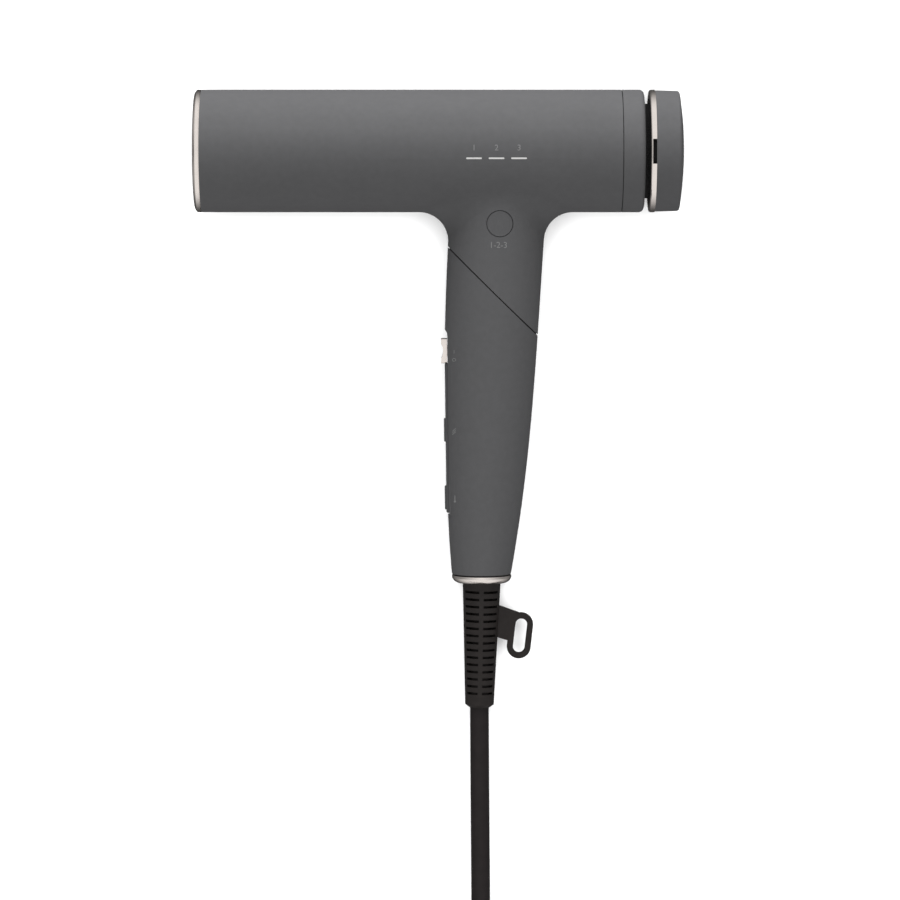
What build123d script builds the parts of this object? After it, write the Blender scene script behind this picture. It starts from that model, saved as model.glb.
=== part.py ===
from build123d import *
import os
from math import asin, atan2, cos, degrees, hypot, pi, radians, sin, tan

# A folding T-shaped hair dryer, lying on its side as it lies on a table.
#
# It is modelled in the dryer's own frame: the barrel's axis is X with the outlet at -X, the handle
# points to -Y, and the mode button looks to +Z. X is 0 above the folding pivot and Y is 0 on the
# barrel's axis. At export the dryer is laid down: it rests on the barrel and on the ring at the
# handle's end, so it leans by a few degrees, and its cord lies on the same surface.
# All lengths are in millimetres.

# ---- fits ----
running_gap = 0.05      # radial play of a shaft or pivot
slide_gap = 0.3         # play around moving buttons and caps
seat_gap = 0.1          # play between pieces that are seated in one another

# ---- barrel ----
barrel_radius = 27.5
barrel_wall = 1.8
nose_length = 131.1     # from above the pivot to the front of the housing
tail_length = 57.5      # from above the pivot to the seam of the rear collar
neck_fillet = 13.0
barrel_bore = barrel_radius - barrel_wall

# ---- grip: neck and handle, as (drop below the barrel's axis, front x, rear x, half thickness) ----
grip_stations = [
    (10.0, -19.4, 24.6, 19.0),
    (44.5, -20.5, 22.6, 18.4),
    (89.5, -21.9, 19.7, 17.6),
    (134.5, -21.4, 16.0, 16.0),
    (165.0, -20.3, 12.3, 14.6),
    (190.9, -18.6, 8.2, 13.2),
]
grip_wall = 2.2
cut_drop = 63.1         # the pivot's distance below the barrel's axis
cut_angle = 44.5        # slope of the folding seam
cut_gap = 0.5           # width of the folding seam
grip_end = grip_stations[-1][0]

# ---- front ring, outlet sleeve and grille ----
front_ring_length = 2.95
front_ring_bore = 24.4
nozzle_seat_radius = 23.0
nozzle_seat_depth = 8.2
sleeve_lip = 2.2        # how far the sleeve reaches forward of the housing, inside the ring
sleeve_length = 23.1    # from the housing's front face back to the heater
grille_radius = 22.0
grille_thickness = 2.4

# ---- heater ----
heater_length = 92.0
liner_radius = 22.7
liner_wall = 0.6
liner_overlap = 3.0     # how deep the liner sits in the sleeve and in the air duct
coil_radius = 17.5
coil_wire = 1.1         # wire diameter of the heating coil
coil_pitch = 5.0
coil_turns = 13
mica_thickness = 0.8
mica_shoulder = 8.0     # length of the wide ends that hold the boards in the liner
emitter_radius = 2.2

# ---- motor and fan ----
duct_radius = 24.6
duct_wall = 1.6
duct_start, duct_end = -22.0, 51.0
motor_radius = 12.0
motor_start, motor_end = 4.0, 32.0
shaft_radius = 1.5
fan_start, fan_length = 35.5, 11.0
fan_hub_radius = 9.0
fan_tip_radius = 22.2
fan_blades = 9
vane_count = 7

# ---- rear collar, inlet cage and filter cap ----
collar_length = 10.1
collar_web = 2.2
collar_spigot = 5.0
cage_radius = 20.4
cage_wall = 1.6
cage_slots = 20
inlet_gap = 2.3
cap_ring_length = 2.6
cap_length = 13.05
cap_radius = 27.2
cap_wall = 1.8
cap_ring_bore = 24.2
cap_ring_rounding = 0.9
notch_length, notch_width = 11.0, 1.8
sleeve_radius = 21.2    # the fine filter sleeve
mesh_thickness = 0.4
cap_dome = 2.1          # how far the cap's end bulges
cap_hole_rings = 4
keeper_radius = 5.0
magnet_thickness = 1.8

# ---- indicators and mode button on the barrel's side ----
lens_length, lens_height = 7.1, 0.85
lens_pitch = 10.0
lens_x, lens_drop = 1.2, 3.1
lens_flange = 0.8
strip_thickness = 0.5
mode_x, mode_drop = 2.8, 32.3
mode_radius = 5.7
mode_travel = 0.8
mode_flange_top = 13.4
mode_board_top = 7.05
mode_boss_pitch = 18.4

# ---- swivel ----
plate_thickness = 3.0
pivot_radius = 9.0
pivot_wall = 2.2
pivot_flange, pivot_flange_height = 1.6, 1.4     # how far it stands out, and its height
pivot_tail = 0.9        # what stands below the retaining ring
stop_distance = 3.6     # from the pivot's surface to the stop pin's middle
stop_pin = 1.2
stop_bearing = 290.0    # where the stop pin stands around the pivot
fold_angle = 180.0
ledge_width = 4.6
ledge_height = 4.0
swivel_screw_place = 20.8
screw_shank, screw_head, screw_head_height = 1.2, 2.3, 1.4
washer_thickness, washer_width = 1.0, 1.6
gasket_height = 0.36    # of the seam's gasket, which leaves a gap to the neck
gasket_inset, gasket_width = 0.7, 2.4
clip_thickness, clip_width, clip_groove = 1.0, 1.4, 0.5

# ---- switch panel on the front of the handle ----
panel_drop = 124.0      # middle of the panel's flat
panel_x = -20.2         # the flat's surface, at its middle
panel_lean = 0.7
flat_below = 40.0
ramp_length, ramp_depth = 2.5, 1.6
flat_width = 12.0
panel_backing = 2.4
raised_width, raised_height = 9.4, 1.3
raised_above, raised_below = 28.2, 39.0
raised_rim = 0.9        # how far the strip overlaps the edge of its window
button_length, button_width = 10.5, 6.4
button_proud = 0.7
button_travel = 0.6
button_flange, button_flange_height = 0.8, 0.8
speed_place, heat_place = -1.7, -32.4   # along the panel, from its middle
slider_length, slider_width, slider_height = 11.2, 6.6, 2.8
slider_place = 34.1
slider_travel = 2.0
# the flat runs on past the slider's travel
flat_above = slider_place + slider_length / 2 + slider_travel + 0.4
slider_stem_length, slider_stem_width = 5.0, 2.4
slider_lever = 1.6

# ---- boards and chassis in the handle ----
chassis_thickness = 1.6
chassis_top = -1.4
chassis_first, chassis_last = cut_drop + 34.9, 170.0
board_thickness = 1.6
board_lift = 2.0
board_first, board_last = chassis_first + 8.0, 166.0
board_width = 17.0
board_x = -1.5
rail_board_depth = 7.4  # the switch board's outer face, behind the flat
rail_board_width = 8.6
rail_board_above, rail_board_below = 41.0, 38.5
tact_size, tact_height, tact_plunger = 6.0, 2.6, 0.8
slide_switch_length, slide_switch_width, slide_switch_height = 12.0, 6.4, 4.0
harness_radius = 3.5
harness_rise, harness_drop = 15.0, 12.0
harness_foot_x = -3.5
harness_foot_length = 14.0

# ---- handle end ----
end_seal_thickness = 0.7
end_ring_height = 3.4
end_ring_radius = 13.45
end_web = 2.4           # the housing's closed end
end_bore = 7.1
end_x = -5.1            # the cord's line at the handle's end
relief_flange, relief_flange_height = 9.0, 2.0
clamp_first, clamp_last = 175.0, 181.0
relief_top_radius, relief_tip_radius = 8.6, 6.5
relief_length = 57.0
relief_lean = 1.0
relief_core = 5.0       # radius of the core between its slots
relief_edge = 1.1       # what stays outside its slots
relief_web = 2.0        # what stays between the slots of its two sides
relief_tip_length, relief_tip_end = 1.4, 4.5
slot_count = 15
slot_pitch = 3.3
slot_height = 1.15
slot_first = 3.4
rib_width = 2.0
loop_tilt = 6.4
loop_x, loop_drop = 12.3, 219.2
loop_slot_length, loop_slot_width = 15.5, 5.3
loop_wall = 2.75
loop_thickness = 3.2

# ---- mains cord, plug and tie, where they lie on the surface ----
cord_diameter = 8.5
cord_radius = cord_diameter / 2
lead_points = [(18.4, -180.5, 6.0), (18.8, -224.0, cord_radius), (18.8, -264.0, cord_radius)]
coil_entry_radius = 61.0
coil_turns_in, coil_turns_out = 2.5, 2.25
coil_climb = 0.25
coil_layer = 8.2        # height of the upper turns above the lower ones
coil_entry_stub, coil_exit_stub = 34.0, 38.0
tie_width, tie_thickness = 12.0, 0.9
tie_bearing = 205.0
plug_length, plug_width, plug_height = 38.0, 35.0, 18.0
plug_neck = 13.0
boot_length = 24.0
pin_radius, pin_length, pin_spacing = 2.4, 19.0, 19.0
pin_shank, pin_root, pin_depth = 2.2, 1.0, 12.0

# ---- what follows from them ----
front_x = -nose_length
ring_front_x = front_x - front_ring_length
collar_x = tail_length
collar_end = collar_x + collar_length
cap_ring_x = collar_end + inlet_gap
cap_x = cap_ring_x + cap_ring_length
cap_end = cap_x + cap_length
sleeve_end = front_x + sleeve_length
heater_start = sleeve_end - liner_overlap
heater_end = heater_start + heater_length
mica_start = heater_start + 2
mica_end = heater_end - 3
end_ring_top = grip_end + end_seal_thickness
relief_start = end_ring_top + end_ring_height
lie_angle = degrees(
    asin(barrel_radius / hypot(end_ring_top, end_ring_radius)) - atan2(end_ring_radius, end_ring_top)
)

board_under = chassis_top + board_lift
board_top = board_under + board_thickness

cut_normal = Vector(sin(radians(cut_angle)), cos(radians(cut_angle)), 0)
cut_along = Vector(cos(radians(cut_angle)), -sin(radians(cut_angle)), 0)
cut_plane = Plane(origin=(0, -cut_drop, 0), x_dir=cut_along, z_dir=cut_normal)
panel_up = Vector(-sin(radians(panel_lean)), cos(radians(panel_lean)), 0)
panel_out = Vector(-cos(radians(panel_lean)), -sin(radians(panel_lean)), 0)
panel_plane = Plane(origin=(panel_x, -panel_drop, 0), x_dir=panel_up, z_dir=panel_out)
relief_down = Vector(-sin(radians(relief_lean)), -cos(radians(relief_lean)), 0)
relief_plane = Plane(origin=(end_x, -relief_start, 0), x_dir=(0, 0, 1), z_dir=relief_down)
relief_tip = Vector(end_x, -relief_start, 0) + relief_down * relief_length

# The dryer's box is centred on the row's origin, and its lowest line lies at height 0.
lowest_y = relief_tip.Y * cos(radians(lie_angle)) - relief_tip_radius * sin(radians(lie_angle))
shift_x = -(ring_front_x + cap_end) / 2
shift_y = -(barrel_radius + lowest_y) / 2
resting = Location((shift_x, shift_y, barrel_radius), (lie_angle, 0, 0))


def keep(builder, name, place=resting):
    """Labels a finished piece, lays it where the dryer rests and writes its STEP file."""
    builder.part.label = name
    export_step(place * builder.part, f"parts/{name}.step")


def tube(start, end, outer, inner=0.0, mode=Mode.ADD):
    """Adds a ring, or a disc, about the barrel's axis between two stations along X."""
    with BuildSketch(Plane.YZ.offset(start)) as section:
        Circle(outer)
        if inner:
            Circle(inner, mode=Mode.SUBTRACT)
    extrude(section.sketch, amount=end - start, mode=mode)


def swivel_disc(start, end, outer, inner=0.0, mode=Mode.ADD):
    """Adds a ring, or a disc, about the folding pivot between two heights above the seam."""
    with BuildSketch(cut_plane.offset(start)) as section:
        Circle(outer)
        if inner:
            Circle(inner, mode=Mode.SUBTRACT)
    extrude(section.sketch, amount=end - start, mode=mode)


def ring_grille(start, thickness, outer, rings, hub, spoke_count, bar):
    """Adds a round grille about the barrel's axis: a hub, rings and spokes, all one bar wide."""
    with BuildSketch(Plane.YZ.offset(start)) as face:
        for reach in rings:
            Circle(reach)
            Circle(reach - bar, mode=Mode.SUBTRACT)
        Circle(hub)
        with PolarLocations((hub + outer) / 2, spoke_count):
            Rectangle(outer - hub + 1, bar)
        Circle(outer, mode=Mode.INTERSECT)
    extrude(face.sketch, amount=thickness)


def panel_block(place, length, width, low, high, corner=0.0, mode=Mode.ADD):
    """Adds a block on the switch panel, centred at a place along it, between two heights."""
    with BuildSketch(panel_plane.offset(low)) as section:
        with Locations((place, 0)):
            if corner:
                RectangleRounded(length, width, corner)
            else:
                Rectangle(length, width)
    extrude(section.sketch, amount=high - low, mode=mode)


def grip_form(inset):
    """The neck and handle as one solid, with its outside set in by an amount."""
    with BuildPart() as form:
        for drop, front, rear, half_thickness in grip_stations:
            with BuildSketch(Plane.XZ.offset(drop)):
                with Locations(((front + rear) / 2, 0)):
                    Ellipse((rear - front) / 2 - inset, half_thickness - inset)
        loft()
    return form.part


grip_outer = grip_form(0)
grip_inner = grip_form(grip_wall)
grip_seat = grip_form(grip_wall + seat_gap)
grip_ledge = grip_form(grip_wall + ledge_width)


def slab(form, low, high):
    """The stretch of a grip form between two heights above the folding seam."""
    with BuildPart() as piece:
        add(form)
        split(bisect_by=cut_plane.offset(high), keep=Keep.BOTTOM)
        split(bisect_by=cut_plane.offset(low), keep=Keep.TOP)
    return piece.part


# ================= barrel =================

with BuildPart() as neck_form:
    add(grip_outer)
    split(bisect_by=cut_plane.offset(cut_gap / 2), keep=Keep.TOP)


def meets_barrel(edge):
    """Whether an edge lies on the barrel's surface, where the neck meets it."""
    points = [edge @ share for share in (0.1, 0.3, 0.5, 0.7, 0.9)]
    return edge.geom_type != GeomType.LINE and all(
        abs(hypot(point.Y, point.Z) - barrel_radius) < 0.1
        and abs(point.X) < nose_length / 2
        and point.Y < 0
        for point in points
    )


with BuildPart() as barrel_form:
    tube(front_x, collar_x, barrel_radius)
    add(neck_form.part)
    fillet(barrel_form.edges().filter_by(meets_barrel), neck_fillet)

with BuildPart() as neck_bore:
    add(grip_inner)
    split(bisect_by=cut_plane.offset(cut_gap / 2), keep=Keep.TOP)

plate_low, plate_high = cut_gap / 2, cut_gap / 2 + plate_thickness

with BuildPart() as barrel_housing:
    add(barrel_form.part)
    add(neck_bore.part, mode=Mode.SUBTRACT)
    tube(front_x, collar_x, barrel_bore, mode=Mode.SUBTRACT)
    # the ledge that the neck's plate is screwed to
    add(slab(grip_inner, plate_high, plate_high + ledge_height))
    add(slab(grip_ledge, plate_high, plate_high + ledge_height), mode=Mode.SUBTRACT)
    with BuildSketch(cut_plane.offset(plate_low)) as ledge_holes:
        with GridLocations(2 * swivel_screw_place, 1, 2, 1):
            Circle(screw_shank + running_gap)
    extrude(ledge_holes.sketch, amount=plate_thickness + ledge_height, mode=Mode.SUBTRACT)
    # windows of the three lights
    with BuildSketch(Plane.XY) as lens_windows:
        with Locations((lens_x, -lens_drop)):
            with GridLocations(lens_pitch, 1, 3, 1):
                SlotOverall(lens_length, lens_height)
    extrude(lens_windows.sketch, amount=barrel_radius + 1, mode=Mode.SUBTRACT)
    # posts of the mode button's board, and the button's hole
    with BuildSketch(Plane.XY.offset(mode_board_top)) as mode_posts:
        with Locations((mode_x, -mode_drop)):
            with GridLocations(mode_boss_pitch, 1, 2, 1):
                Circle(1.8)
    extrude(mode_posts.sketch, amount=8.0)
    with BuildSketch(Plane.XY.offset(mode_board_top)) as mode_hole:
        with Locations((mode_x, -mode_drop)):
            Circle(mode_radius + slide_gap)
    extrude(mode_hole.sketch, amount=barrel_radius, mode=Mode.SUBTRACT)
keep(barrel_housing, "barrel_housing")

with BuildPart() as front_ring:
    with BuildSketch(Plane.XY) as ring_section:
        with BuildLine():
            Polyline(
                (front_x, front_ring_bore),
                (ring_front_x, front_ring_bore),
                (ring_front_x, barrel_radius - 1.5),
                (ring_front_x + 0.5, barrel_radius - 0.6),
                (ring_front_x + 1.1, barrel_radius),
                (front_x - 0.35, barrel_radius),
                (front_x - 0.35, barrel_radius - 0.7),
                (front_x, barrel_radius - 0.7),
                close=True,
            )
        make_face()
    revolve(axis=Axis.X)
keep(front_ring, "front_ring")

grille_x = front_x - sleeve_lip + nozzle_seat_depth
with BuildPart() as outlet_sleeve:
    tube(front_x - sleeve_lip, sleeve_end, front_ring_bore - seat_gap)
    tube(front_x, sleeve_end, barrel_bore - seat_gap)
    tube(front_x - sleeve_lip, grille_x, nozzle_seat_radius, mode=Mode.SUBTRACT)
    tube(grille_x, grille_x + grille_thickness, grille_radius + seat_gap, mode=Mode.SUBTRACT)
    tube(grille_x, sleeve_end, grille_radius - 1.5, mode=Mode.SUBTRACT)
    tube(heater_start, sleeve_end, liner_radius + seat_gap, mode=Mode.SUBTRACT)
keep(outlet_sleeve, "outlet_sleeve")

with BuildPart() as outlet_grille:
    ring_grille(grille_x, grille_thickness, grille_radius, (grille_radius, 17.6, 13.2, 8.8), 5.0, 12, 1.1)
    tube(grille_x, grille_x + grille_thickness, emitter_radius + seat_gap, mode=Mode.SUBTRACT)
keep(outlet_grille, "outlet_grille")

with BuildPart() as ion_emitter:
    tube(grille_x + 0.6, mica_start, emitter_radius)
    tube(grille_x + 0.6, grille_x + 4.4, emitter_radius - 0.8, mode=Mode.SUBTRACT)
    tube(grille_x + 0.3, grille_x + 5.0, 0.4)
keep(ion_emitter, "ion_emitter")

with BuildPart() as heater_liner:
    tube(heater_start, heater_end, liner_radius, liner_radius - liner_wall)
keep(heater_liner, "heater_liner")

mica_reach = liner_radius - liner_wall - 0.15
with BuildPart() as mica_frame:
    for plane in (Plane.XY, Plane.XZ):
        with BuildSketch(plane):
            with Locations(((mica_start + mica_end) / 2, 0)):
                Rectangle(mica_end - mica_start, 2 * (coil_radius - coil_wire / 2 - running_gap))
            for middle in (mica_start + mica_shoulder / 2, mica_end - mica_shoulder / 2):
                with Locations((middle, 0)):
                    Rectangle(mica_shoulder, 2 * mica_reach)
        extrude(amount=mica_thickness / 2, both=True)
keep(mica_frame, "mica_frame")

coil_start = mica_start + mica_shoulder + coil_wire
with BuildPart() as heating_coil:
    with BuildLine() as coil_path:
        coil_reach = coil_pitch * coil_turns
        Helix(coil_pitch, coil_reach, coil_radius, center=(coil_start, 0, 0), direction=(1, 0, 0))
    with BuildSketch(Plane(coil_path.line @ 0, z_dir=coil_path.line % 0)):
        Circle(coil_wire / 2)
    sweep(is_frenet=True)
keep(heating_coil, "heating_coil")

thermostat_x = mica_end - mica_shoulder / 2
with BuildPart() as thermostat:
    with BuildSketch(Plane.XY.offset(mica_thickness / 2)) as thermostat_foot:
        with Locations((thermostat_x, 10)):
            RectangleRounded(6.6, 9.0, 0.8)
    extrude(thermostat_foot.sketch, amount=1.2)
    with BuildSketch(Plane.XY.offset(mica_thickness / 2 + 1.2)) as thermostat_can:
        with Locations((thermostat_x, 10)):
            Circle(3.1)
    extrude(thermostat_can.sketch, amount=3.0)
keep(thermostat, "thermostat")

# ---- air duct, motor and fan ----

duct_bore = liner_radius + seat_gap
damper_radius = motor_radius + 1.3
vane_hub = damper_radius + 1.5
with BuildPart() as air_duct:
    tube(duct_start, duct_end, duct_radius, duct_bore)
    for start in (duct_start, duct_end - 3):
        tube(start, start + 3, barrel_bore - seat_gap, duct_bore)
    tube(heater_end, heater_end + 1.2, duct_radius, liner_radius - liner_wall)
    with BuildSketch(Plane.YZ.offset(motor_start + 4)) as vane_section:
        with PolarLocations((vane_hub + duct_bore) / 2, vane_count):
            Rectangle(duct_bore - vane_hub + 1.4, 1.3)
    extrude(vane_section.sketch, amount=20)
    tube(motor_start + 4, motor_start + 24, vane_hub)
    tube(motor_start + 4, motor_start + 24, damper_radius, mode=Mode.SUBTRACT)
keep(air_duct, "air_duct")

with BuildPart() as motor_damper:
    tube(motor_start + 4, motor_start + 24, damper_radius - running_gap, motor_radius + running_gap)
keep(motor_damper, "motor_damper")

with BuildPart() as motor_can:
    tube(motor_start, motor_end, motor_radius)
    fillet(motor_can.edges().filter_by(GeomType.CIRCLE), 1.2)
    tube(motor_end, motor_end + 1.5, 4.0)
    tube(motor_start + 10, motor_end + 1.5, shaft_radius + running_gap, mode=Mode.SUBTRACT)
    with BuildSketch(Plane.YZ.offset(motor_start)) as can_vents:
        with PolarLocations(7.5, 6):
            SlotOverall(5, 2.2, rotation=90)
    extrude(can_vents.sketch, amount=1.5, mode=Mode.SUBTRACT)
keep(motor_can, "motor_can")

fan_end = fan_start + fan_length
with BuildPart() as motor_shaft:
    tube(motor_start + 11, fan_end + 1.5, shaft_radius)
    chamfer(motor_shaft.edges().filter_by(GeomType.CIRCLE), 0.3)
keep(motor_shaft, "motor_shaft")

fan_middle = fan_start + fan_length / 2
with BuildPart() as fan_blade:
    for reach, chord, pitch in ((fan_hub_radius - 1, 11.0, 38.0), (fan_tip_radius + 0.8, 12.4, 56.0)):
        with BuildSketch(Plane(origin=(fan_middle, 0, reach), x_dir=(1, 0, 0), z_dir=(0, 0, 1))):
            SlotOverall(chord, 1.0, rotation=pitch)
    loft()

with BuildPart() as fan_rotor:
    for number in range(fan_blades):
        add(fan_blade.part, rotation=(number * 360 / fan_blades, 0, 0))
    tube(fan_start, fan_end, fan_tip_radius, mode=Mode.INTERSECT)
    tube(fan_start, fan_end, fan_hub_radius)
    tube(fan_end, fan_end + 1.0, fan_hub_radius - 2)
    tube(fan_start - 1, fan_end + 2, shaft_radius, mode=Mode.SUBTRACT)
keep(fan_rotor, "fan_rotor")

# ---- rear collar, inlet cage and filter cap ----

with BuildPart() as rear_collar:
    tube(collar_x + 0.35, collar_end, barrel_radius)
    fillet(rear_collar.edges().filter_by(GeomType.CIRCLE).sort_by(Axis.X)[-1], 2.2)
    tube(collar_x - collar_spigot, collar_end - collar_web, barrel_bore - seat_gap)
    tube(collar_x - collar_spigot, collar_end - collar_web, barrel_bore - 1.7, mode=Mode.SUBTRACT)
    tube(collar_end - collar_web, collar_end, cage_radius + seat_gap, mode=Mode.SUBTRACT)
keep(rear_collar, "rear_collar")

cage_flange = barrel_bore - 1.7 - seat_gap
cage_end = cap_x + 6.4
with BuildPart() as inlet_cage:
    tube(collar_end - collar_web - 1.6, cage_end, cage_radius, cage_radius - cage_wall)
    tube(collar_end - collar_web - 1.6, collar_end - collar_web, cage_flange, cage_radius - cage_wall)
    cage_rings = (cage_radius - 0.8, 15.6, 11.4)
    ring_grille(cage_end - 1.8, 1.8, cage_radius - 0.8, cage_rings, keeper_radius + 1.6, 10, 1.1)
    for number in range(cage_slots):
        turn = number * 360 / cage_slots
        slot_plane = Plane.XY.rotated((turn, 0, 0)).offset(cage_radius - cage_wall - 1)
        with BuildSketch(slot_plane) as cage_slot:
            with Locations(((collar_end + cap_x) / 2 + 0.4, 0)):
                SlotOverall(cap_x - collar_end + 1.2, 2.8)
        extrude(cage_slot.sketch, amount=cage_wall + 2, mode=Mode.SUBTRACT)
    tube(cage_end - 1.2, cage_end, keeper_radius + seat_gap, mode=Mode.SUBTRACT)
keep(inlet_cage, "inlet_cage")

with BuildPart() as keeper_disc:
    tube(cage_end - 1.2, cage_end, keeper_radius)
keep(keeper_disc, "keeper_disc")

dome_radius = (cap_radius**2 + cap_dome**2) / (2 * cap_dome)
with BuildPart() as cap_form:
    with BuildSketch(Plane.XY) as cap_section:
        with BuildLine():
            Line((cap_x, 0), (cap_x, cap_radius))
            Line((cap_x, cap_radius), (cap_end - cap_dome, cap_radius - 0.25))
            RadiusArc((cap_end - cap_dome, cap_radius - 0.25), (cap_end, keeper_radius), dome_radius)
            Line((cap_end, keeper_radius), (cap_end, 0))
            Line((cap_end, 0), (cap_x, 0))
        make_face()
    revolve(axis=Axis.X)
    fillet(cap_form.edges().filter_by(lambda edge: edge.is_closed).sort_by(Axis.X)[-2], 1.2)

magnet_x = cage_end + 0.5
with BuildPart() as filter_cap:
    add(cap_form.part)
    tube(cap_x, cap_end - cap_dome - cap_wall, cap_radius - cap_wall, mode=Mode.SUBTRACT)
    with BuildSketch(Plane.YZ.offset(cap_x)) as cap_holes:
        for ring in range(cap_hole_rings):
            count = 18 + 6 * ring
            with PolarLocations(9.4 + 2.9 * ring, count, start_angle=180 / count):
                Circle(0.85)
    extrude(cap_holes.sketch, amount=cap_length + 1, mode=Mode.SUBTRACT)
    tube(magnet_x, cap_end - 1, keeper_radius + 1.5)
    tube(magnet_x, magnet_x + magnet_thickness, keeper_radius + seat_gap, mode=Mode.SUBTRACT)
keep(filter_cap, "filter_cap")

with BuildPart() as cap_magnet:
    tube(magnet_x, magnet_x + magnet_thickness, keeper_radius)
keep(cap_magnet, "cap_magnet")

with BuildPart() as cap_trim_ring:
    tube(cap_ring_x, cap_x, barrel_radius, cap_ring_bore)
    ring_corners = cap_trim_ring.edges().filter_by(GeomType.CIRCLE).sort_by(Axis.X)[0:2]
    fillet(ring_corners.sort_by(SortBy.RADIUS)[-1], cap_ring_rounding)
    with BuildSketch(Plane.XY.offset(20)) as notch:
        with Locations((cap_x - notch_width / 2, 0)):
            Rectangle(notch_width, notch_length)
    extrude(notch.sketch, amount=10, mode=Mode.SUBTRACT)
keep(cap_trim_ring, "cap_trim_ring")

with BuildPart() as filter_frame:
    tube(cap_ring_x + 0.3, cap_x, cap_ring_bore - seat_gap)
    tube(cap_x, cap_x + 3, cap_radius - cap_wall - seat_gap)
    tube(cap_ring_x, cap_x + 3, sleeve_radius, mode=Mode.SUBTRACT)
keep(filter_frame, "filter_frame")

with BuildPart() as filter_mesh:
    tube(collar_end + 0.3, cap_x + 3, sleeve_radius, sleeve_radius - mesh_thickness)
keep(filter_mesh, "filter_mesh")

# ---- lights and mode button ----

with BuildPart() as indicator_strip:
    strip_bore = duct_radius + 0.05
    tube(lens_x - 1.5 * lens_pitch, lens_x + 1.5 * lens_pitch, strip_bore + strip_thickness, strip_bore)
    with BuildSketch(Plane.XY) as strip_outline:
        with Locations((lens_x, -lens_drop)):
            Rectangle(3 * lens_pitch, 9)
    extrude(strip_outline.sketch, amount=barrel_radius, mode=Mode.INTERSECT)
keep(indicator_strip, "indicator_strip")

with BuildPart() as indicator_lenses:
    with BuildSketch(Plane.XY) as lens_faces:
        with Locations((lens_x, -lens_drop)):
            with GridLocations(lens_pitch, 1, 3, 1):
                SlotOverall(lens_length - seat_gap, lens_height - seat_gap)
    extrude(lens_faces.sketch, amount=barrel_radius + 1)
    lens_first, lens_last = lens_x - 2 * lens_pitch, lens_x + 2 * lens_pitch
    tube(lens_first, lens_last, barrel_radius - 0.05, barrel_bore - 0.3, mode=Mode.INTERSECT)
keep(indicator_lenses, "indicator_lenses")

with BuildPart() as mode_button:
    with BuildSketch(Plane.XY.offset(mode_flange_top)) as mode_face:
        with Locations((mode_x, -mode_drop)):
            Circle(mode_radius)
    extrude(mode_face.sketch, amount=barrel_radius)
    add(barrel_form.part, mode=Mode.INTERSECT)
    with BuildSketch(Plane.XY.offset(mode_flange_top - 1)) as mode_flange:
        with Locations((mode_x, -mode_drop)):
            Circle(mode_radius + 1)
    extrude(mode_flange.sketch, amount=1.0)
keep(mode_button, "mode_button")

with BuildPart() as mode_switch:
    with BuildSketch(Plane.XY.offset(mode_board_top - board_thickness)) as mode_board:
        with Locations((mode_x, -mode_drop)):
            Rectangle(mode_boss_pitch + 4, 9)
    extrude(mode_board.sketch, amount=board_thickness)
    with BuildSketch(Plane.XY.offset(mode_board_top)) as mode_tact:
        with Locations((mode_x, -mode_drop)):
            Rectangle(tact_size, tact_size)
    extrude(mode_tact.sketch, amount=tact_height)
    with BuildSketch(Plane.XY.offset(mode_board_top + tact_height)) as mode_plunger:
        with Locations((mode_x, -mode_drop)):
            Circle(1.6)
    extrude(mode_plunger.sketch, amount=tact_plunger)
keep(mode_switch, "mode_switch")

# ================= swivel =================

pivot_bore = pivot_radius - pivot_wall
stop_radius = pivot_radius + stop_distance
clip_radius = pivot_radius + clip_width
clip_top = -plate_high - washer_thickness - running_gap
pivot_low = clip_top - clip_thickness - pivot_tail
stop_start = stop_bearing
with BuildPart() as neck_plate:
    add(slab(grip_seat, plate_low, plate_high))
    swivel_disc(plate_low, plate_high, pivot_radius, mode=Mode.SUBTRACT)
    with BuildSketch(cut_plane.offset(plate_low)) as stop_slot:
        with BuildLine():
            stop_half = stop_pin + running_gap
            stop_last = stop_start - fold_angle
            CenterArc((0, 0), stop_radius + stop_half, stop_last, fold_angle)
            CenterArc((0, 0), stop_radius - stop_half, stop_last, fold_angle)
            CenterArc(Vector(stop_radius, 0).rotate(Axis.Z, stop_start), stop_half, stop_start, 180)
            CenterArc(Vector(stop_radius, 0).rotate(Axis.Z, stop_last), stop_half, stop_last - 180, 180)
        make_face()
    extrude(stop_slot.sketch, amount=plate_thickness, both=True, mode=Mode.SUBTRACT)
    with BuildSketch(cut_plane.offset(plate_low)) as plate_heads:
        with GridLocations(2 * swivel_screw_place, 1, 2, 1):
            Circle(screw_head + running_gap)
    extrude(plate_heads.sketch, amount=screw_head_height + running_gap, mode=Mode.SUBTRACT)
    with BuildSketch(cut_plane.offset(plate_low)) as plate_holes:
        with GridLocations(2 * swivel_screw_place, 1, 2, 1):
            Circle(screw_shank + running_gap)
    extrude(plate_holes.sketch, amount=plate_thickness, mode=Mode.SUBTRACT)
keep(neck_plate, "neck_plate")

with BuildPart() as neck_screws:
    with BuildSketch(cut_plane.offset(plate_low)):
        with GridLocations(2 * swivel_screw_place, 1, 2, 1):
            Circle(screw_head)
    extrude(amount=screw_head_height)
    with BuildSketch(cut_plane.offset(plate_low + screw_head_height)) as neck_shanks:
        with GridLocations(2 * swivel_screw_place, 1, 2, 1):
            Circle(screw_shank)
    extrude(neck_shanks.sketch, amount=plate_thickness - screw_head_height + ledge_height - 0.5)
    with BuildSketch(cut_plane.offset(plate_low)) as neck_recess:
        with GridLocations(2 * swivel_screw_place, 1, 2, 1):
            RegularPolygon(1.0, 6)
    extrude(neck_recess.sketch, amount=0.8, mode=Mode.SUBTRACT)
keep(neck_screws, "neck_screws")

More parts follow.
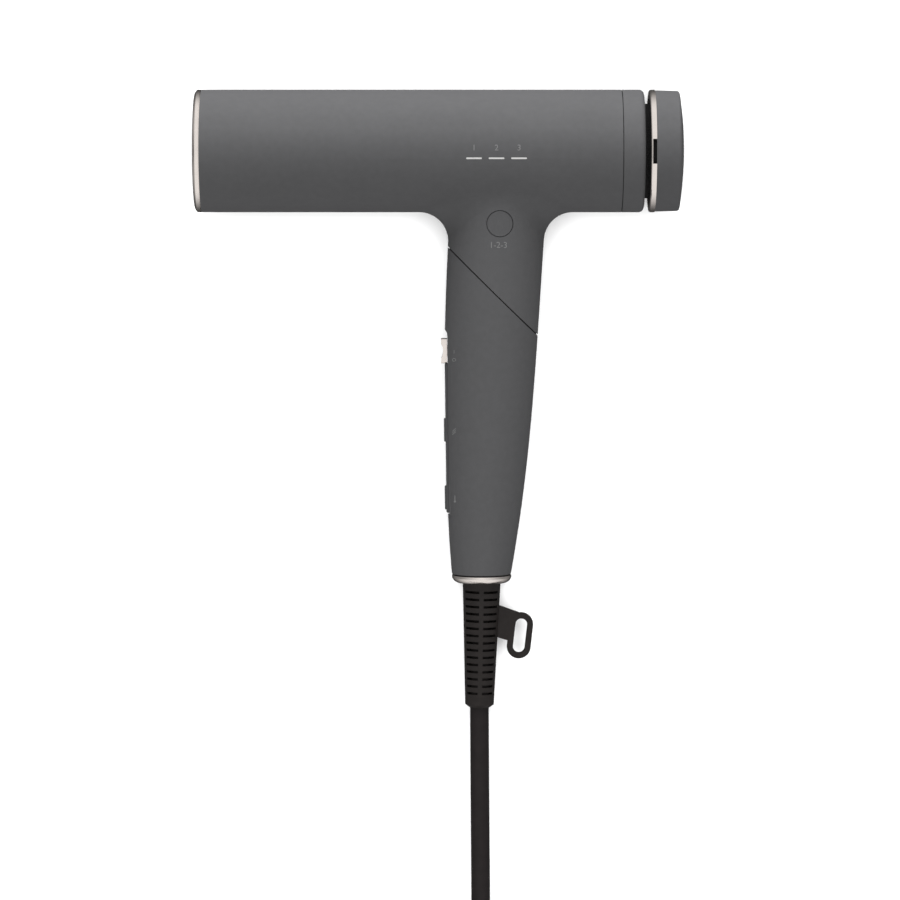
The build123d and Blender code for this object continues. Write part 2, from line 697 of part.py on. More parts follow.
with BuildPart() as handle_plate:
    add(slab(grip_seat, -plate_high, -plate_low))
    swivel_disc(-plate_high, -plate_low, pivot_radius + running_gap, mode=Mode.SUBTRACT)
    with BuildSketch(cut_plane.offset(-plate_high)) as pin_hole:
        with PolarLocations(stop_radius, 1, start_angle=stop_start):
            Circle(stop_pin)
    extrude(pin_hole.sketch, amount=plate_thickness, mode=Mode.SUBTRACT)
    with BuildSketch(cut_plane.offset(-plate_low - screw_head_height - running_gap)) as low_heads:
        with GridLocations(2 * swivel_screw_place, 1, 2, 1):
            Circle(screw_head + running_gap)
    extrude(low_heads.sketch, amount=screw_head_height + running_gap, mode=Mode.SUBTRACT)
    with BuildSketch(cut_plane.offset(-plate_high)) as low_holes:
        with GridLocations(2 * swivel_screw_place, 1, 2, 1):
            Circle(screw_shank + running_gap)
    extrude(low_holes.sketch, amount=plate_thickness, mode=Mode.SUBTRACT)
keep(handle_plate, "handle_plate")

# a flat gasket that closes the seam all round
with BuildPart() as seam_gasket:
    add(slab(grip_form(gasket_inset), -plate_low, -plate_low + gasket_height))
    gasket_hole = grip_form(gasket_inset + gasket_width)
    add(slab(gasket_hole, -plate_low, -plate_low + gasket_height), mode=Mode.SUBTRACT)
keep(seam_gasket, "seam_gasket")

with BuildPart() as handle_screws:
    with BuildSketch(cut_plane.offset(-plate_low - screw_head_height)):
        with GridLocations(2 * swivel_screw_place, 1, 2, 1):
            Circle(screw_head)
    extrude(amount=screw_head_height)
    with BuildSketch(cut_plane.offset(-plate_high - ledge_height + 0.5)) as low_shanks:
        with GridLocations(2 * swivel_screw_place, 1, 2, 1):
            Circle(screw_shank)
    extrude(low_shanks.sketch, amount=plate_thickness - screw_head_height + ledge_height - 0.5)
    with BuildSketch(cut_plane.offset(-plate_low - 0.8)) as low_recess:
        with GridLocations(2 * swivel_screw_place, 1, 2, 1):
            RegularPolygon(1.0, 6)
    extrude(low_recess.sketch, amount=0.8, mode=Mode.SUBTRACT)
keep(handle_screws, "handle_screws")

with BuildPart() as stop_dowel:
    with BuildSketch(cut_plane.offset(-plate_high)):
        with PolarLocations(stop_radius, 1, start_angle=stop_start):
            Circle(stop_pin)
    extrude(amount=2 * plate_high - 0.6)
keep(stop_dowel, "stop_pin")

with BuildPart() as pivot_tube:
    swivel_disc(pivot_low, plate_high, pivot_radius)
    swivel_disc(plate_high, plate_high + pivot_flange_height, pivot_radius + pivot_flange)
    groove_radius = pivot_radius - clip_groove
    swivel_disc(clip_top - clip_thickness, clip_top, 2 * pivot_radius, groove_radius, mode=Mode.SUBTRACT)
    swivel_disc(pivot_low, plate_high + pivot_flange_height, pivot_bore, mode=Mode.SUBTRACT)
keep(pivot_tube, "pivot_tube")

with BuildPart() as wave_washer:
    swivel_disc(-plate_high - washer_thickness, -plate_high, pivot_radius + washer_width, pivot_radius + 0.2)
keep(wave_washer, "wave_washer")

with BuildPart() as retaining_ring:
    swivel_disc(clip_top - clip_thickness, clip_top, clip_radius, pivot_radius - clip_groove)
    with BuildSketch(cut_plane.offset(clip_top - clip_thickness)) as clip_mouth:
        with Locations((clip_radius, 0)):
            Rectangle(clip_radius, 4)
    extrude(clip_mouth.sketch, amount=clip_thickness, mode=Mode.SUBTRACT)
keep(retaining_ring, "retaining_ring")

with BuildPart() as wire_harness:
    pivot = Vector(0, -cut_drop, 0)
    foot = Vector(harness_foot_x, -board_first - 5.0, board_top + harness_radius + running_gap)
    with BuildLine() as harness_path:
        FilletPolyline(
            pivot + cut_normal * harness_rise,
            pivot - cut_normal * harness_drop,
            foot + Vector(-0.5, harness_foot_length, 0),
            foot,
            radius=12.0,
        )
    with BuildSketch(Plane(harness_path.line @ 0, z_dir=harness_path.line % 0)):
        Circle(harness_radius)
    sweep()
keep(wire_harness, "wire_harness")

# ================= handle =================

panel_side = Plane(origin=(panel_x, -panel_drop, 0), x_dir=panel_up, z_dir=(0, 0, 1))
rail_place = (rail_board_above - rail_board_below) / 2
rail_length = rail_board_above + rail_board_below


with BuildPart() as handle_hollow:
    add(grip_inner)
    split(bisect_by=cut_plane.offset(-plate_low), keep=Keep.BOTTOM)
    with BuildSketch(Plane.XZ.offset(grip_end - end_web)) as end_wall:
        Rectangle(4 * barrel_radius, 4 * barrel_radius)
    extrude(end_wall.sketch, amount=2 * end_web, mode=Mode.SUBTRACT)

with BuildPart() as handle_housing:
    add(grip_outer)
    split(bisect_by=cut_plane.offset(-plate_low), keep=Keep.BOTTOM)
    add(handle_hollow.part, mode=Mode.SUBTRACT)
    # the ledge that carries the handle's plate
    add(slab(grip_inner, -plate_high - ledge_height, -plate_high))
    add(slab(grip_ledge, -plate_high - ledge_height, -plate_high), mode=Mode.SUBTRACT)
    with BuildSketch(cut_plane.offset(-plate_high - ledge_height)) as low_ledge_holes:
        with GridLocations(2 * swivel_screw_place, 1, 2, 1):
            Circle(screw_shank + running_gap)
    extrude(low_ledge_holes.sketch, amount=plate_thickness + ledge_height, mode=Mode.SUBTRACT)
    # the flat for the switches, with its ramp at the top
    panel_block((flat_above - flat_below) / 2, flat_above + flat_below, flat_width, -panel_backing, 0)
    with BuildSketch(panel_side.offset(-barrel_radius)) as flat_cut:
        with BuildLine():
            Polyline(
                (-flat_below, 0),
                (flat_above, 0),
                (flat_above + ramp_length, ramp_depth),
                (flat_above + ramp_length, 4 * ramp_depth),
                (-flat_below, 4 * ramp_depth),
                close=True,
            )
        make_face()
    extrude(flat_cut.sketch, amount=2 * barrel_radius, mode=Mode.SUBTRACT)
    panel_block(
        (raised_above - raised_below) / 2,
        raised_above + raised_below - 2 * raised_rim,
        raised_width - 2 * raised_rim,
        -2 * panel_backing,
        1,
        mode=Mode.SUBTRACT,
    )
    panel_block(
        slider_place + slider_travel / 2,
        slider_stem_length + slider_travel + 2 * slide_gap,
        slider_stem_width + 2 * slide_gap,
        -2 * panel_backing,
        1,
        mode=Mode.SUBTRACT,
    )
    with BuildSketch(Plane.XZ.offset(grip_end - end_web)) as end_hole:
        with Locations((end_x, 0)):
            Circle(end_bore)
    extrude(end_hole.sketch, amount=end_web, mode=Mode.SUBTRACT)
keep(handle_housing, "handle_housing")

button_places = {"speed_button": speed_place, "heat_button": heat_place}

with BuildPart() as switch_panel:
    panel_block((raised_above - raised_below) / 2, raised_above + raised_below, raised_width, 0, raised_height)
    chamfer(switch_panel.faces().filter_by(panel_plane).sort_by(Axis.X)[0].edges(), 0.4)
    panel_block(
        (raised_above - raised_below) / 2,
        raised_above + raised_below - 2 * raised_rim - 2 * seat_gap,
        raised_width - 2 * raised_rim - 2 * seat_gap,
        -panel_backing,
        0,
    )
    for place in button_places.values():
        panel_block(
            place,
            button_length + 2 * slide_gap,
            button_width + 2 * slide_gap,
            -panel_backing,
            2 * raised_height,
            corner=0.6,
            mode=Mode.SUBTRACT,
        )
keep(switch_panel, "switch_panel")

button_low = -panel_backing - 0.1 - button_flange_height
for name, place in button_places.items():
    with BuildPart() as push_button:
        panel_block(place, button_length, button_width, button_low, raised_height + button_proud, corner=0.6)
        chamfer(push_button.faces().filter_by(panel_plane).sort_by(Axis.X)[0].edges(), 0.3)
        panel_block(
            place,
            button_length + 2 * button_flange,
            button_width + 2 * button_flange,
            button_low,
            button_low + button_flange_height,
        )
    keep(push_button, name)

slider_low = 0.15
switch_top = -rail_board_depth + slide_switch_height
with BuildPart() as power_slider:
    panel_block(slider_place, slider_length, slider_width, slider_low, slider_height, corner=0.7)
    # a hollow for the thumb across the slider's back
    with BuildSketch(panel_side.offset(-slider_width)) as thumb_hollow:
        with Locations((slider_place, slider_height + 6.2)):
            Circle(7.0)
    extrude(thumb_hollow.sketch, amount=2 * slider_width, mode=Mode.SUBTRACT)
    panel_block(slider_place, slider_stem_length, slider_stem_width, switch_top + 0.2, slider_low + 0.5)
    panel_block(slider_place, slider_lever, slider_lever, switch_top - 1.5, switch_top + 0.2)
keep(power_slider, "power_slider")

with BuildPart() as slide_switch:
    panel_block(
        slider_place + slider_travel / 2, slide_switch_length, slide_switch_width, -rail_board_depth, switch_top
    )
    panel_block(
        slider_place + slider_travel / 2,
        slider_lever + slider_travel + 2 * slide_gap,
        slider_lever + 2 * slide_gap,
        switch_top - 2.0,
        switch_top,
        mode=Mode.SUBTRACT,
    )
keep(slide_switch, "slide_switch")

with BuildPart() as tact_switches:
    for place in button_places.values():
        panel_block(place, tact_size, tact_size, -rail_board_depth, -rail_board_depth + tact_height)
        with BuildSketch(panel_plane.offset(-rail_board_depth + tact_height)) as plunger:
            with Locations((place, 0)):
                Circle(1.6)
        extrude(plunger.sketch, amount=-button_travel - 0.05 + button_low + rail_board_depth - tact_height)
keep(tact_switches, "tact_switches")

rail_back = rail_board_depth + board_thickness
with BuildPart() as switch_board:
    panel_block(rail_place, rail_length, rail_board_width, -rail_back, -rail_board_depth)
keep(switch_board, "switch_board")

board_middle = -(board_first + board_last) / 2
post_pitch_x, post_pitch_y = board_width - 5.0, board_last - board_first - 6.0
with BuildPart() as handle_chassis:
    add(grip_seat)
    with BuildSketch(Plane.XY.offset(chassis_top - chassis_thickness)) as chassis_slice:
        with Locations((0, -(chassis_first + chassis_last) / 2)):
            Rectangle(4 * barrel_radius, chassis_last - chassis_first)
    extrude(chassis_slice.sketch, amount=chassis_thickness, mode=Mode.INTERSECT)
    panel_block(0, 8 * barrel_radius, 2 * barrel_radius, -rail_back, barrel_radius, mode=Mode.SUBTRACT)
    with BuildSketch(Plane.XY.offset(chassis_top)) as board_posts:
        with Locations((board_x, board_middle)):
            with GridLocations(post_pitch_x, post_pitch_y, 2, 2):
                Circle(1.8)
    extrude(board_posts.sketch, amount=board_lift)
    with BuildSketch(Plane.XY.offset(board_under)) as board_pegs:
        with Locations((board_x, board_middle)):
            with GridLocations(post_pitch_x, post_pitch_y, 2, 2):
                Circle(1.15)
    extrude(board_pegs.sketch, amount=board_thickness + 0.6)
keep(handle_chassis, "handle_chassis")

with BuildPart() as control_board:
    with BuildSketch(Plane.XY.offset(board_under)) as board_outline:
        with Locations((board_x, board_middle)):
            RectangleRounded(board_width, board_last - board_first, 1.0)
            with GridLocations(post_pitch_x, post_pitch_y, 2, 2):
                Circle(1.2, mode=Mode.SUBTRACT)
    extrude(board_outline.sketch, amount=board_thickness)
keep(control_board, "control_board")

with BuildPart() as film_capacitor:
    with BuildSketch(Plane.XY.offset(board_top)) as capacitor_foot:
        with Locations((board_x, -150.0)):
            RectangleRounded(11.0, 13.0, 1.0)
    extrude(capacitor_foot.sketch, amount=6.5)
keep(film_capacitor, "film_capacitor")

with BuildPart() as triac_heatsink:
    with BuildSketch(Plane.XY.offset(board_top)) as heatsink_foot:
        with Locations((board_x, -127.0)):
            Rectangle(11.0, 16.0)
            with GridLocations(2.6, 1, 4, 1):
                Rectangle(1.2, 16.1, mode=Mode.SUBTRACT)
    extrude(heatsink_foot.sketch, amount=6.5)
    with BuildSketch(Plane.XY.offset(board_top)) as heatsink_base:
        with Locations((board_x, -127.0)):
            Rectangle(11.0, 16.0)
    extrude(heatsink_base.sketch, amount=1.6)
keep(triac_heatsink, "triac_heatsink")

with BuildPart() as ion_generator:
    with BuildSketch(Plane.XY.offset(chassis_top - chassis_thickness)) as ion_foot:
        with Locations((0.5, -120.0)):
            RectangleRounded(14.0, 24.0, 1.0)
    extrude(ion_foot.sketch, amount=-8.0)
keep(ion_generator, "ion_generator")

with BuildPart() as cord_clamp:
    add(grip_seat)
    with BuildSketch(Plane.XZ.offset(clamp_first)) as clamp_slice:
        Rectangle(4 * barrel_radius, 4 * barrel_radius)
    extrude(clamp_slice.sketch, amount=clamp_last - clamp_first, mode=Mode.INTERSECT)
    with BuildSketch(Plane.XZ.offset(clamp_first)) as clamp_hole:
        with Locations((end_x, 0)):
            Circle(cord_radius)
    extrude(clamp_hole.sketch, amount=clamp_last - clamp_first, mode=Mode.SUBTRACT)
keep(cord_clamp, "cord_clamp")

flange_drop = grip_end - end_web - relief_flange_height
with BuildPart() as end_seal:
    with BuildSketch(Plane.XZ.offset(grip_end)) as seal_section:
        with Locations((end_x, 0)):
            Circle(end_ring_radius - 0.75)
            Circle(end_bore, mode=Mode.SUBTRACT)
    extrude(seal_section.sketch, amount=end_seal_thickness)
keep(end_seal, "end_seal")

with BuildPart() as end_ring:
    with BuildSketch(Plane.XY) as ring_profile:
        with BuildLine():
            Line((end_x + end_bore, -end_ring_top), (end_x + end_ring_radius, -end_ring_top))
            Line((end_x + end_ring_radius, -end_ring_top), (end_x + end_ring_radius, -end_ring_top - 1.0))
            ThreePointArc(
                (end_x + end_ring_radius, -end_ring_top - 1.0),
                (end_x + end_ring_radius - 1.2, -end_ring_top - 2.7),
                (end_x + relief_top_radius + 0.9, -relief_start),
            )
            Line((end_x + relief_top_radius + 0.9, -relief_start), (end_x + end_bore, -relief_start))
            Line((end_x + end_bore, -relief_start), (end_x + end_bore, -end_ring_top))
        make_face()
    revolve(axis=Axis((end_x, 0, 0), (0, 1, 0)))
keep(end_ring, "end_ring")

with BuildPart() as strain_relief:
    with BuildSketch(relief_plane.offset(-0.5)):
        Circle(relief_top_radius)
    with BuildSketch(relief_plane.offset(relief_length - relief_tip_length)):
        Circle(relief_tip_radius)
    loft()
    with BuildSketch(relief_plane.offset(relief_length - relief_tip_length)):
        Circle(relief_tip_radius)
    with BuildSketch(relief_plane.offset(relief_length)):
        Circle(relief_tip_end)
    loft()
    with BuildSketch(Plane.XZ.offset(relief_start)) as relief_top:
        with Locations((end_x, 0)):
            Rectangle(4 * relief_top_radius, 4 * relief_top_radius)
    extrude(relief_top.sketch, amount=-relief_top_radius, mode=Mode.SUBTRACT)
    for number in range(slot_count):
        start = slot_first + number * slot_pitch
        narrowing = (relief_top_radius - relief_tip_radius) * (start + slot_height) / relief_length
        reach = relief_top_radius - narrowing
        with BuildSketch(relief_plane.offset(start)) as slot_section:
            Circle(relief_top_radius + 1)
            Circle(relief_core, mode=Mode.SUBTRACT)
            Rectangle(3 * relief_top_radius, rib_width, mode=Mode.SUBTRACT)
            Rectangle(relief_web, 3 * relief_top_radius, mode=Mode.SUBTRACT)
            Rectangle(3 * relief_top_radius, 2 * (reach - relief_edge), mode=Mode.INTERSECT)
        extrude(slot_section.sketch, amount=slot_height, mode=Mode.SUBTRACT)
    with BuildSketch(Plane.XZ.offset(grip_end - end_web)) as relief_neck:
        with Locations((end_x, 0)):
            Circle(end_bore - seat_gap)
    extrude(relief_neck.sketch, amount=relief_start - grip_end + end_web + 1)
    with BuildSketch(Plane.XZ.offset(flange_drop)) as relief_collar:
        with Locations((end_x, 0)):
            Circle(relief_flange)
    extrude(relief_collar.sketch, amount=relief_flange_height)
    # the cord's end inside the handle, through the clamp
    with BuildSketch(Plane.XZ.offset(clamp_first - 3)) as inner_section:
        with Locations((end_x, 0)):
            Circle(cord_radius - running_gap)
    extrude(inner_section.sketch, amount=flange_drop - clamp_first + 3)
keep(strain_relief, "strain_relief")

with BuildPart() as relief_body:
    with BuildSketch(relief_plane):
        Circle(relief_top_radius)
    with BuildSketch(relief_plane.offset(relief_length)):
        Circle(relief_tip_radius)
    loft()

with BuildPart() as hanging_loop:
    with BuildSketch(Plane.XY.offset(-loop_thickness / 2)) as loop_outline:
        with BuildLine():
            Polyline(
                (end_x + relief_tip_radius - 2.0, -loop_drop + 15.0),
                (end_x + relief_tip_radius - 2.0, -loop_drop + 0.1),
                (loop_x - 4.0, -loop_drop - 2.8),
                (loop_x - 0.4, -loop_drop + 10.5),
                close=True,
            )
        make_face()
        with Locations(Location((loop_x, -loop_drop), (0, 0, 90 - loop_tilt))):
            SlotOverall(loop_slot_length + 2 * loop_wall, loop_slot_width + 2 * loop_wall)
            SlotOverall(loop_slot_length, loop_slot_width, mode=Mode.SUBTRACT)
    extrude(loop_outline.sketch, amount=loop_thickness)
    fillet(hanging_loop.edges().filter_by(Plane.XY).group_by(Axis.Z)[-1], 0.6)
    fillet(hanging_loop.edges().filter_by(Plane.XY).group_by(Axis.Z)[0], 0.6)
    add(relief_body.part, mode=Mode.SUBTRACT)
keep(hanging_loop, "hanging_loop")

# ================= mains cord and plug, on the surface that the dryer lies on =================

lying = Location((0, 0, 0))
tip_point = (resting * Location(relief_tip + relief_down * running_gap)).position
lead_route = [tip_point] + [Vector(*point) for point in lead_points]


def corner_radii(route):
    """Radii of a cord's arcs: as large as the two runs at each corner allow."""
    radii = []
    for before, corner, after in zip(route, route[1:], route[2:]):
        turn = (corner - before).get_angle(after - corner)
        shorter = min((corner - before).length, (after - corner).length)
        radii.append(0.45 * shorter / tan(radians(turn / 2)))
    return radii


lead_radii = corner_radii(lead_route)
print("cord radii", [round(radius) for radius in lead_radii])
with BuildPart() as power_cord:
    with BuildLine() as lead_path:
        FilletPolyline(*lead_route, radius=lead_radii)
    with BuildSketch(Plane(lead_path.line @ 0, z_dir=lead_path.line % 0)):
        Circle(cord_radius)
    sweep()
keep(power_cord, "power_cord", lying)
cord_section = pi * cord_radius**2
lead_length = lead_path.wire().length
print("cord volume", power_cord.part.volume, "section by length", cord_section * lead_length)

coil_inner_radius = coil_entry_radius - coil_turns_in * cord_diameter
coil_exit_radius = coil_inner_radius + coil_turns_out * cord_diameter
coil_height = coil_layer + cord_diameter
lead_end = lead_route[-1]
coil_center = Vector(lead_end.X - coil_entry_radius, lead_end.Y - coil_entry_stub, 0)
exit_start = coil_center + Vector(coil_exit_radius, 0, cord_radius + coil_layer)
plug_end = Vector(exit_start.X, exit_start.Y - coil_exit_stub, plug_height / 2)

tie_place = Plane(
    origin=coil_center,
    x_dir=(cos(radians(tie_bearing)), sin(radians(tie_bearing)), 0),
    z_dir=(sin(radians(tie_bearing)), -cos(radians(tie_bearing)), 0),
)
coil_inside = coil_inner_radius - cord_radius
coil_outside = coil_entry_radius + cord_radius
coil_middle = (coil_inside + coil_outside) / 2
tie_length = coil_outside - coil_inside
with BuildPart() as tie_form:
    with BuildSketch(tie_place.offset(-tie_width / 2)) as tie_outline:
        with Locations((coil_middle, coil_height / 2)):
            RectangleRounded(tie_length, coil_height, cord_radius)
    extrude(tie_outline.sketch, amount=tie_width)

with BuildPart() as tie_hollow:
    with BuildSketch(tie_place.offset(-tie_width / 2)) as tie_inside:
        with Locations((coil_middle, coil_height / 2)):
            RectangleRounded(
                tie_length - 2 * tie_thickness, coil_height - 2 * tie_thickness, cord_radius - tie_thickness
            )
    extrude(tie_inside.sketch, amount=tie_width)

with BuildPart() as tie_groove:
    with BuildSketch(tie_place.offset(-tie_width / 2 - seat_gap)) as groove_outline:
        with Locations((coil_middle, coil_height / 2)):
            Rectangle(tie_length + 2, coil_height + 2)
            RectangleRounded(
                tie_length - 2 * tie_thickness - seat_gap,
                coil_height - 2 * tie_thickness - seat_gap,
                cord_radius - tie_thickness,
                mode=Mode.SUBTRACT,
            )
    extrude(groove_outline.sketch, amount=tie_width + 2 * seat_gap)

with BuildPart() as cord_tie:
    add(tie_form.part)
    add(tie_hollow.part, mode=Mode.SUBTRACT)
keep(cord_tie, "cord_tie", lying)

with BuildPart() as cord_coil:
    with BuildSketch(Plane(origin=coil_center, x_dir=(1, 0, 0), z_dir=(0, -1, 0))) as coil_section:
        with Locations((coil_middle, coil_height / 2)):
            RectangleRounded(tie_length, coil_height, cord_radius - 0.01)
    revolve(axis=Axis(coil_center, (0, 0, 1)))
    with BuildSketch(Plane(origin=lead_end, z_dir=(0, -1, 0))):
        Circle(cord_radius)
    extrude(amount=coil_entry_stub)
    with BuildSketch(Plane(origin=exit_start, z_dir=plug_end - exit_start)):
        Circle(cord_radius - 0.02)
    extrude(amount=(plug_end - exit_start).length)
    with BuildSketch(Plane(origin=plug_end, z_dir=(0, -1, 0))) as plug_side:
        Circle(cord_radius + 0.6)
    extrude(plug_side.sketch, amount=cord_diameter, mode=Mode.SUBTRACT)
    add(tie_groove.part, mode=Mode.SUBTRACT)
keep(cord_coil, "cord_coil", lying)

boot_end_y = plug_end.Y - boot_length
with BuildPart() as plug_boot:
    with BuildSketch(Plane(origin=plug_end, x_dir=(1, 0, 0), z_dir=(0, -1, 0))):
        Circle(cord_radius + 1.0)
    with BuildSketch(Plane(origin=(plug_end.X, boot_end_y, plug_end.Z), x_dir=(1, 0, 0), z_dir=(0, -1, 0))):
        Circle(plug_neck / 2)
    loft()
    for number in range(5):
        start = 3.0 + number * 3.6
        with BuildSketch(
            Plane(origin=(plug_end.X, plug_end.Y - start, plug_end.Z), x_dir=(1, 0, 0), z_dir=(0, -1, 0))
        ) as boot_slot:
            Circle(plug_neck)
            Circle(cord_radius + 0.3, mode=Mode.SUBTRACT)
            Rectangle(2.4, 3 * plug_neck, mode=Mode.SUBTRACT)
        extrude(boot_slot.sketch, amount=1.4, mode=Mode.SUBTRACT)
keep(plug_boot, "plug_boot", lying)

plug_face_y = boot_end_y - plug_length
with BuildPart() as plug_body:
    with BuildSketch(Plane.XY) as plug_outline:
        with BuildLine():
            Polyline(
                (plug_end.X - plug_neck / 2, boot_end_y),
                (plug_end.X + plug_neck / 2, boot_end_y),
                (plug_end.X + plug_width / 2, boot_end_y - plug_length * 0.45),
                (plug_end.X + plug_width / 2, plug_face_y),
                (plug_end.X - plug_width / 2, plug_face_y),
                (plug_end.X - plug_width / 2, boot_end_y - plug_length * 0.45),
                close=True,
            )
        make_face()
        fillet(plug_outline.vertices().group_by(Axis.Y)[1], 9.0)
        fillet(plug_outline.vertices().group_by(Axis.Y)[0], 1.5)
    extrude(plug_outline.sketch, amount=plug_height)
    fillet(plug_body.edges().filter_by(Plane.XY).group_by(Axis.Z)[-1], 2.4)
    fillet(plug_body.edges().filter_by(Plane.XY).group_by(Axis.Z)[0], 2.4)
    with BuildSketch(Plane.XZ.offset(-plug_face_y - pin_depth)) as pin_seats:
        with Locations((plug_end.X, plug_end.Z)):
            with GridLocations(pin_spacing, 1, 2, 1):
                Circle(pin_shank)
    extrude(pin_seats.sketch, amount=pin_depth + 1, mode=Mode.SUBTRACT)
keep(plug_body, "plug_body", lying)

with BuildPart() as plug_pins:
    with BuildSketch(Plane.XZ.offset(-plug_face_y + pin_root)) as pin_section:
        with Locations((plug_end.X, plug_end.Z)):
            with GridLocations(pin_spacing, 1, 2, 1):
                Circle(pin_radius)
    extrude(pin_section.sketch, amount=pin_length - pin_root)
    with BuildSketch(Plane.XZ.offset(-plug_face_y - pin_depth)) as shank_section:
        with Locations((plug_end.X, plug_end.Z)):
            with GridLocations(pin_spacing, 1, 2, 1):
                Circle(pin_shank)
    extrude(shank_section.sketch, amount=pin_depth + pin_root)
    fillet(plug_pins.edges().filter_by(GeomType.CIRCLE).group_by(Axis.Y)[0], 1.4)
keep(plug_pins, "plug_pins", lying)

turn_length = pi * (coil_entry_radius + coil_inner_radius) * coil_turns_in
climb_length = 2 * pi * coil_inner_radius * coil_climb
out_length = pi * (coil_inner_radius + coil_exit_radius) * coil_turns_out
whole_cord = (
    lead_length + coil_entry_stub + turn_length + climb_length + out_length
    + (plug_end - exit_start).length
)
print("cord length", round(whole_cord), "lie angle", round(lie_angle, 3), "shift", shift_x, shift_y)
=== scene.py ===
"""A folding T-shaped hair dryer on a pale floor, seen from straight above.

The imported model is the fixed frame: its nodes keep their shape and place and get their finish here. The
mains cord, its strap and the printed marks are modelled here. Everything is in metres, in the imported
model's frame.
"""

import logging
import math
from dataclasses import dataclass, replace
from enum import Enum

import bpy
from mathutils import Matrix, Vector

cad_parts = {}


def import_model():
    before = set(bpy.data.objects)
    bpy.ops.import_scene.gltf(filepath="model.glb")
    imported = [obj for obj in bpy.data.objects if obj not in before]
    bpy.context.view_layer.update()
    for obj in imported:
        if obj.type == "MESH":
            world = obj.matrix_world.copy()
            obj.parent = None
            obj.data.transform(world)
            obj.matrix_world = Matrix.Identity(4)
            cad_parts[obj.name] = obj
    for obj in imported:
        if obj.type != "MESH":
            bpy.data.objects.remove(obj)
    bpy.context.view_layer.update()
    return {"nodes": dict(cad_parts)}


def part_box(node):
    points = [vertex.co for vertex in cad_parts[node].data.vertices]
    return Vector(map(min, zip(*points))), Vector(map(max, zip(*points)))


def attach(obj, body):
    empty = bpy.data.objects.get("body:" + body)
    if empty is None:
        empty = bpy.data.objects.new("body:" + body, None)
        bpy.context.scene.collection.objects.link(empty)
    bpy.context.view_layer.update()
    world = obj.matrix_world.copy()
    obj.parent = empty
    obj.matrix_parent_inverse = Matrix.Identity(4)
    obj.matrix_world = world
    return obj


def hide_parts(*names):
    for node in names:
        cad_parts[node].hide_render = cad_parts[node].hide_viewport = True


log = logging.getLogger("hair_dryer")

MM = 0.001
Point = tuple[float, float, float]
Color = tuple[float, float, float]
Tree = bpy.types.NodeTree
Socket = bpy.types.NodeSocket
Piece = bpy.types.Object

COAT_ROUGHNESS = 0.12
MESH_SHADOW = (0.004, 0.004, 0.004)     # what shows between the woven wires
SHARP_ANGLE = math.radians(60)          # edges sharper than this are rounded
WELD = 0.001 * MM                       # points closer than this become one


class Coat(Enum):
    """What lies over a finish's base."""

    NONE = 0.0
    THIN = 0.15
    GLOSSY = 0.6


def linear(grey: float) -> float:
    """Turns a display grey into a linear one.

    Args:
        grey: the display value, from 0 to 1.

    Returns:
        The linear value.
    """
    return grey / 12.92 if grey <= 0.04045 else ((grey + 0.055) / 1.055) ** 2.4


def shade(red: float, green: float, blue: float) -> Color:
    """Turns a display colour into a linear one.

    Args:
        red: its red, from 0 to 1.
        green: its green.
        blue: its blue.

    Returns:
        The linear colour.
    """
    return (linear(red), linear(green), linear(blue))


def calculate(tree: Tree, operation: str, *values: "Socket | float", clamp: bool = False) -> Socket:
    """Adds one sum to a node tree.

    Args:
        tree: the nodes.
        operation: the sum's name.
        values: what it works on, each a socket or a number.
        clamp: whether the result stays between 0 and 1.

    Returns:
        The result.
    """
    node = tree.nodes.new("ShaderNodeMath")
    node.operation = operation
    node.use_clamp = clamp
    for place, value in zip(node.inputs, values):
        if isinstance(value, (int, float)):
            place.default_value = value
        else:
            tree.links.new(value, place)
    return node.outputs["Value"]


def round_edges(piece: Piece, radius: float) -> None:
    """Rounds a piece's sharp edges.

    Args:
        piece: the mesh, which is the active object.
        radius: the rounding's radius.
    """
    edges = piece.modifiers.new("rounded_edges", "BEVEL")
    edges.width = radius
    edges.segments = 3
    edges.angle_limit = SHARP_ANGLE
    bpy.ops.object.modifier_apply(modifier=edges.name)


# ---------------------------------------------------------------- finishes


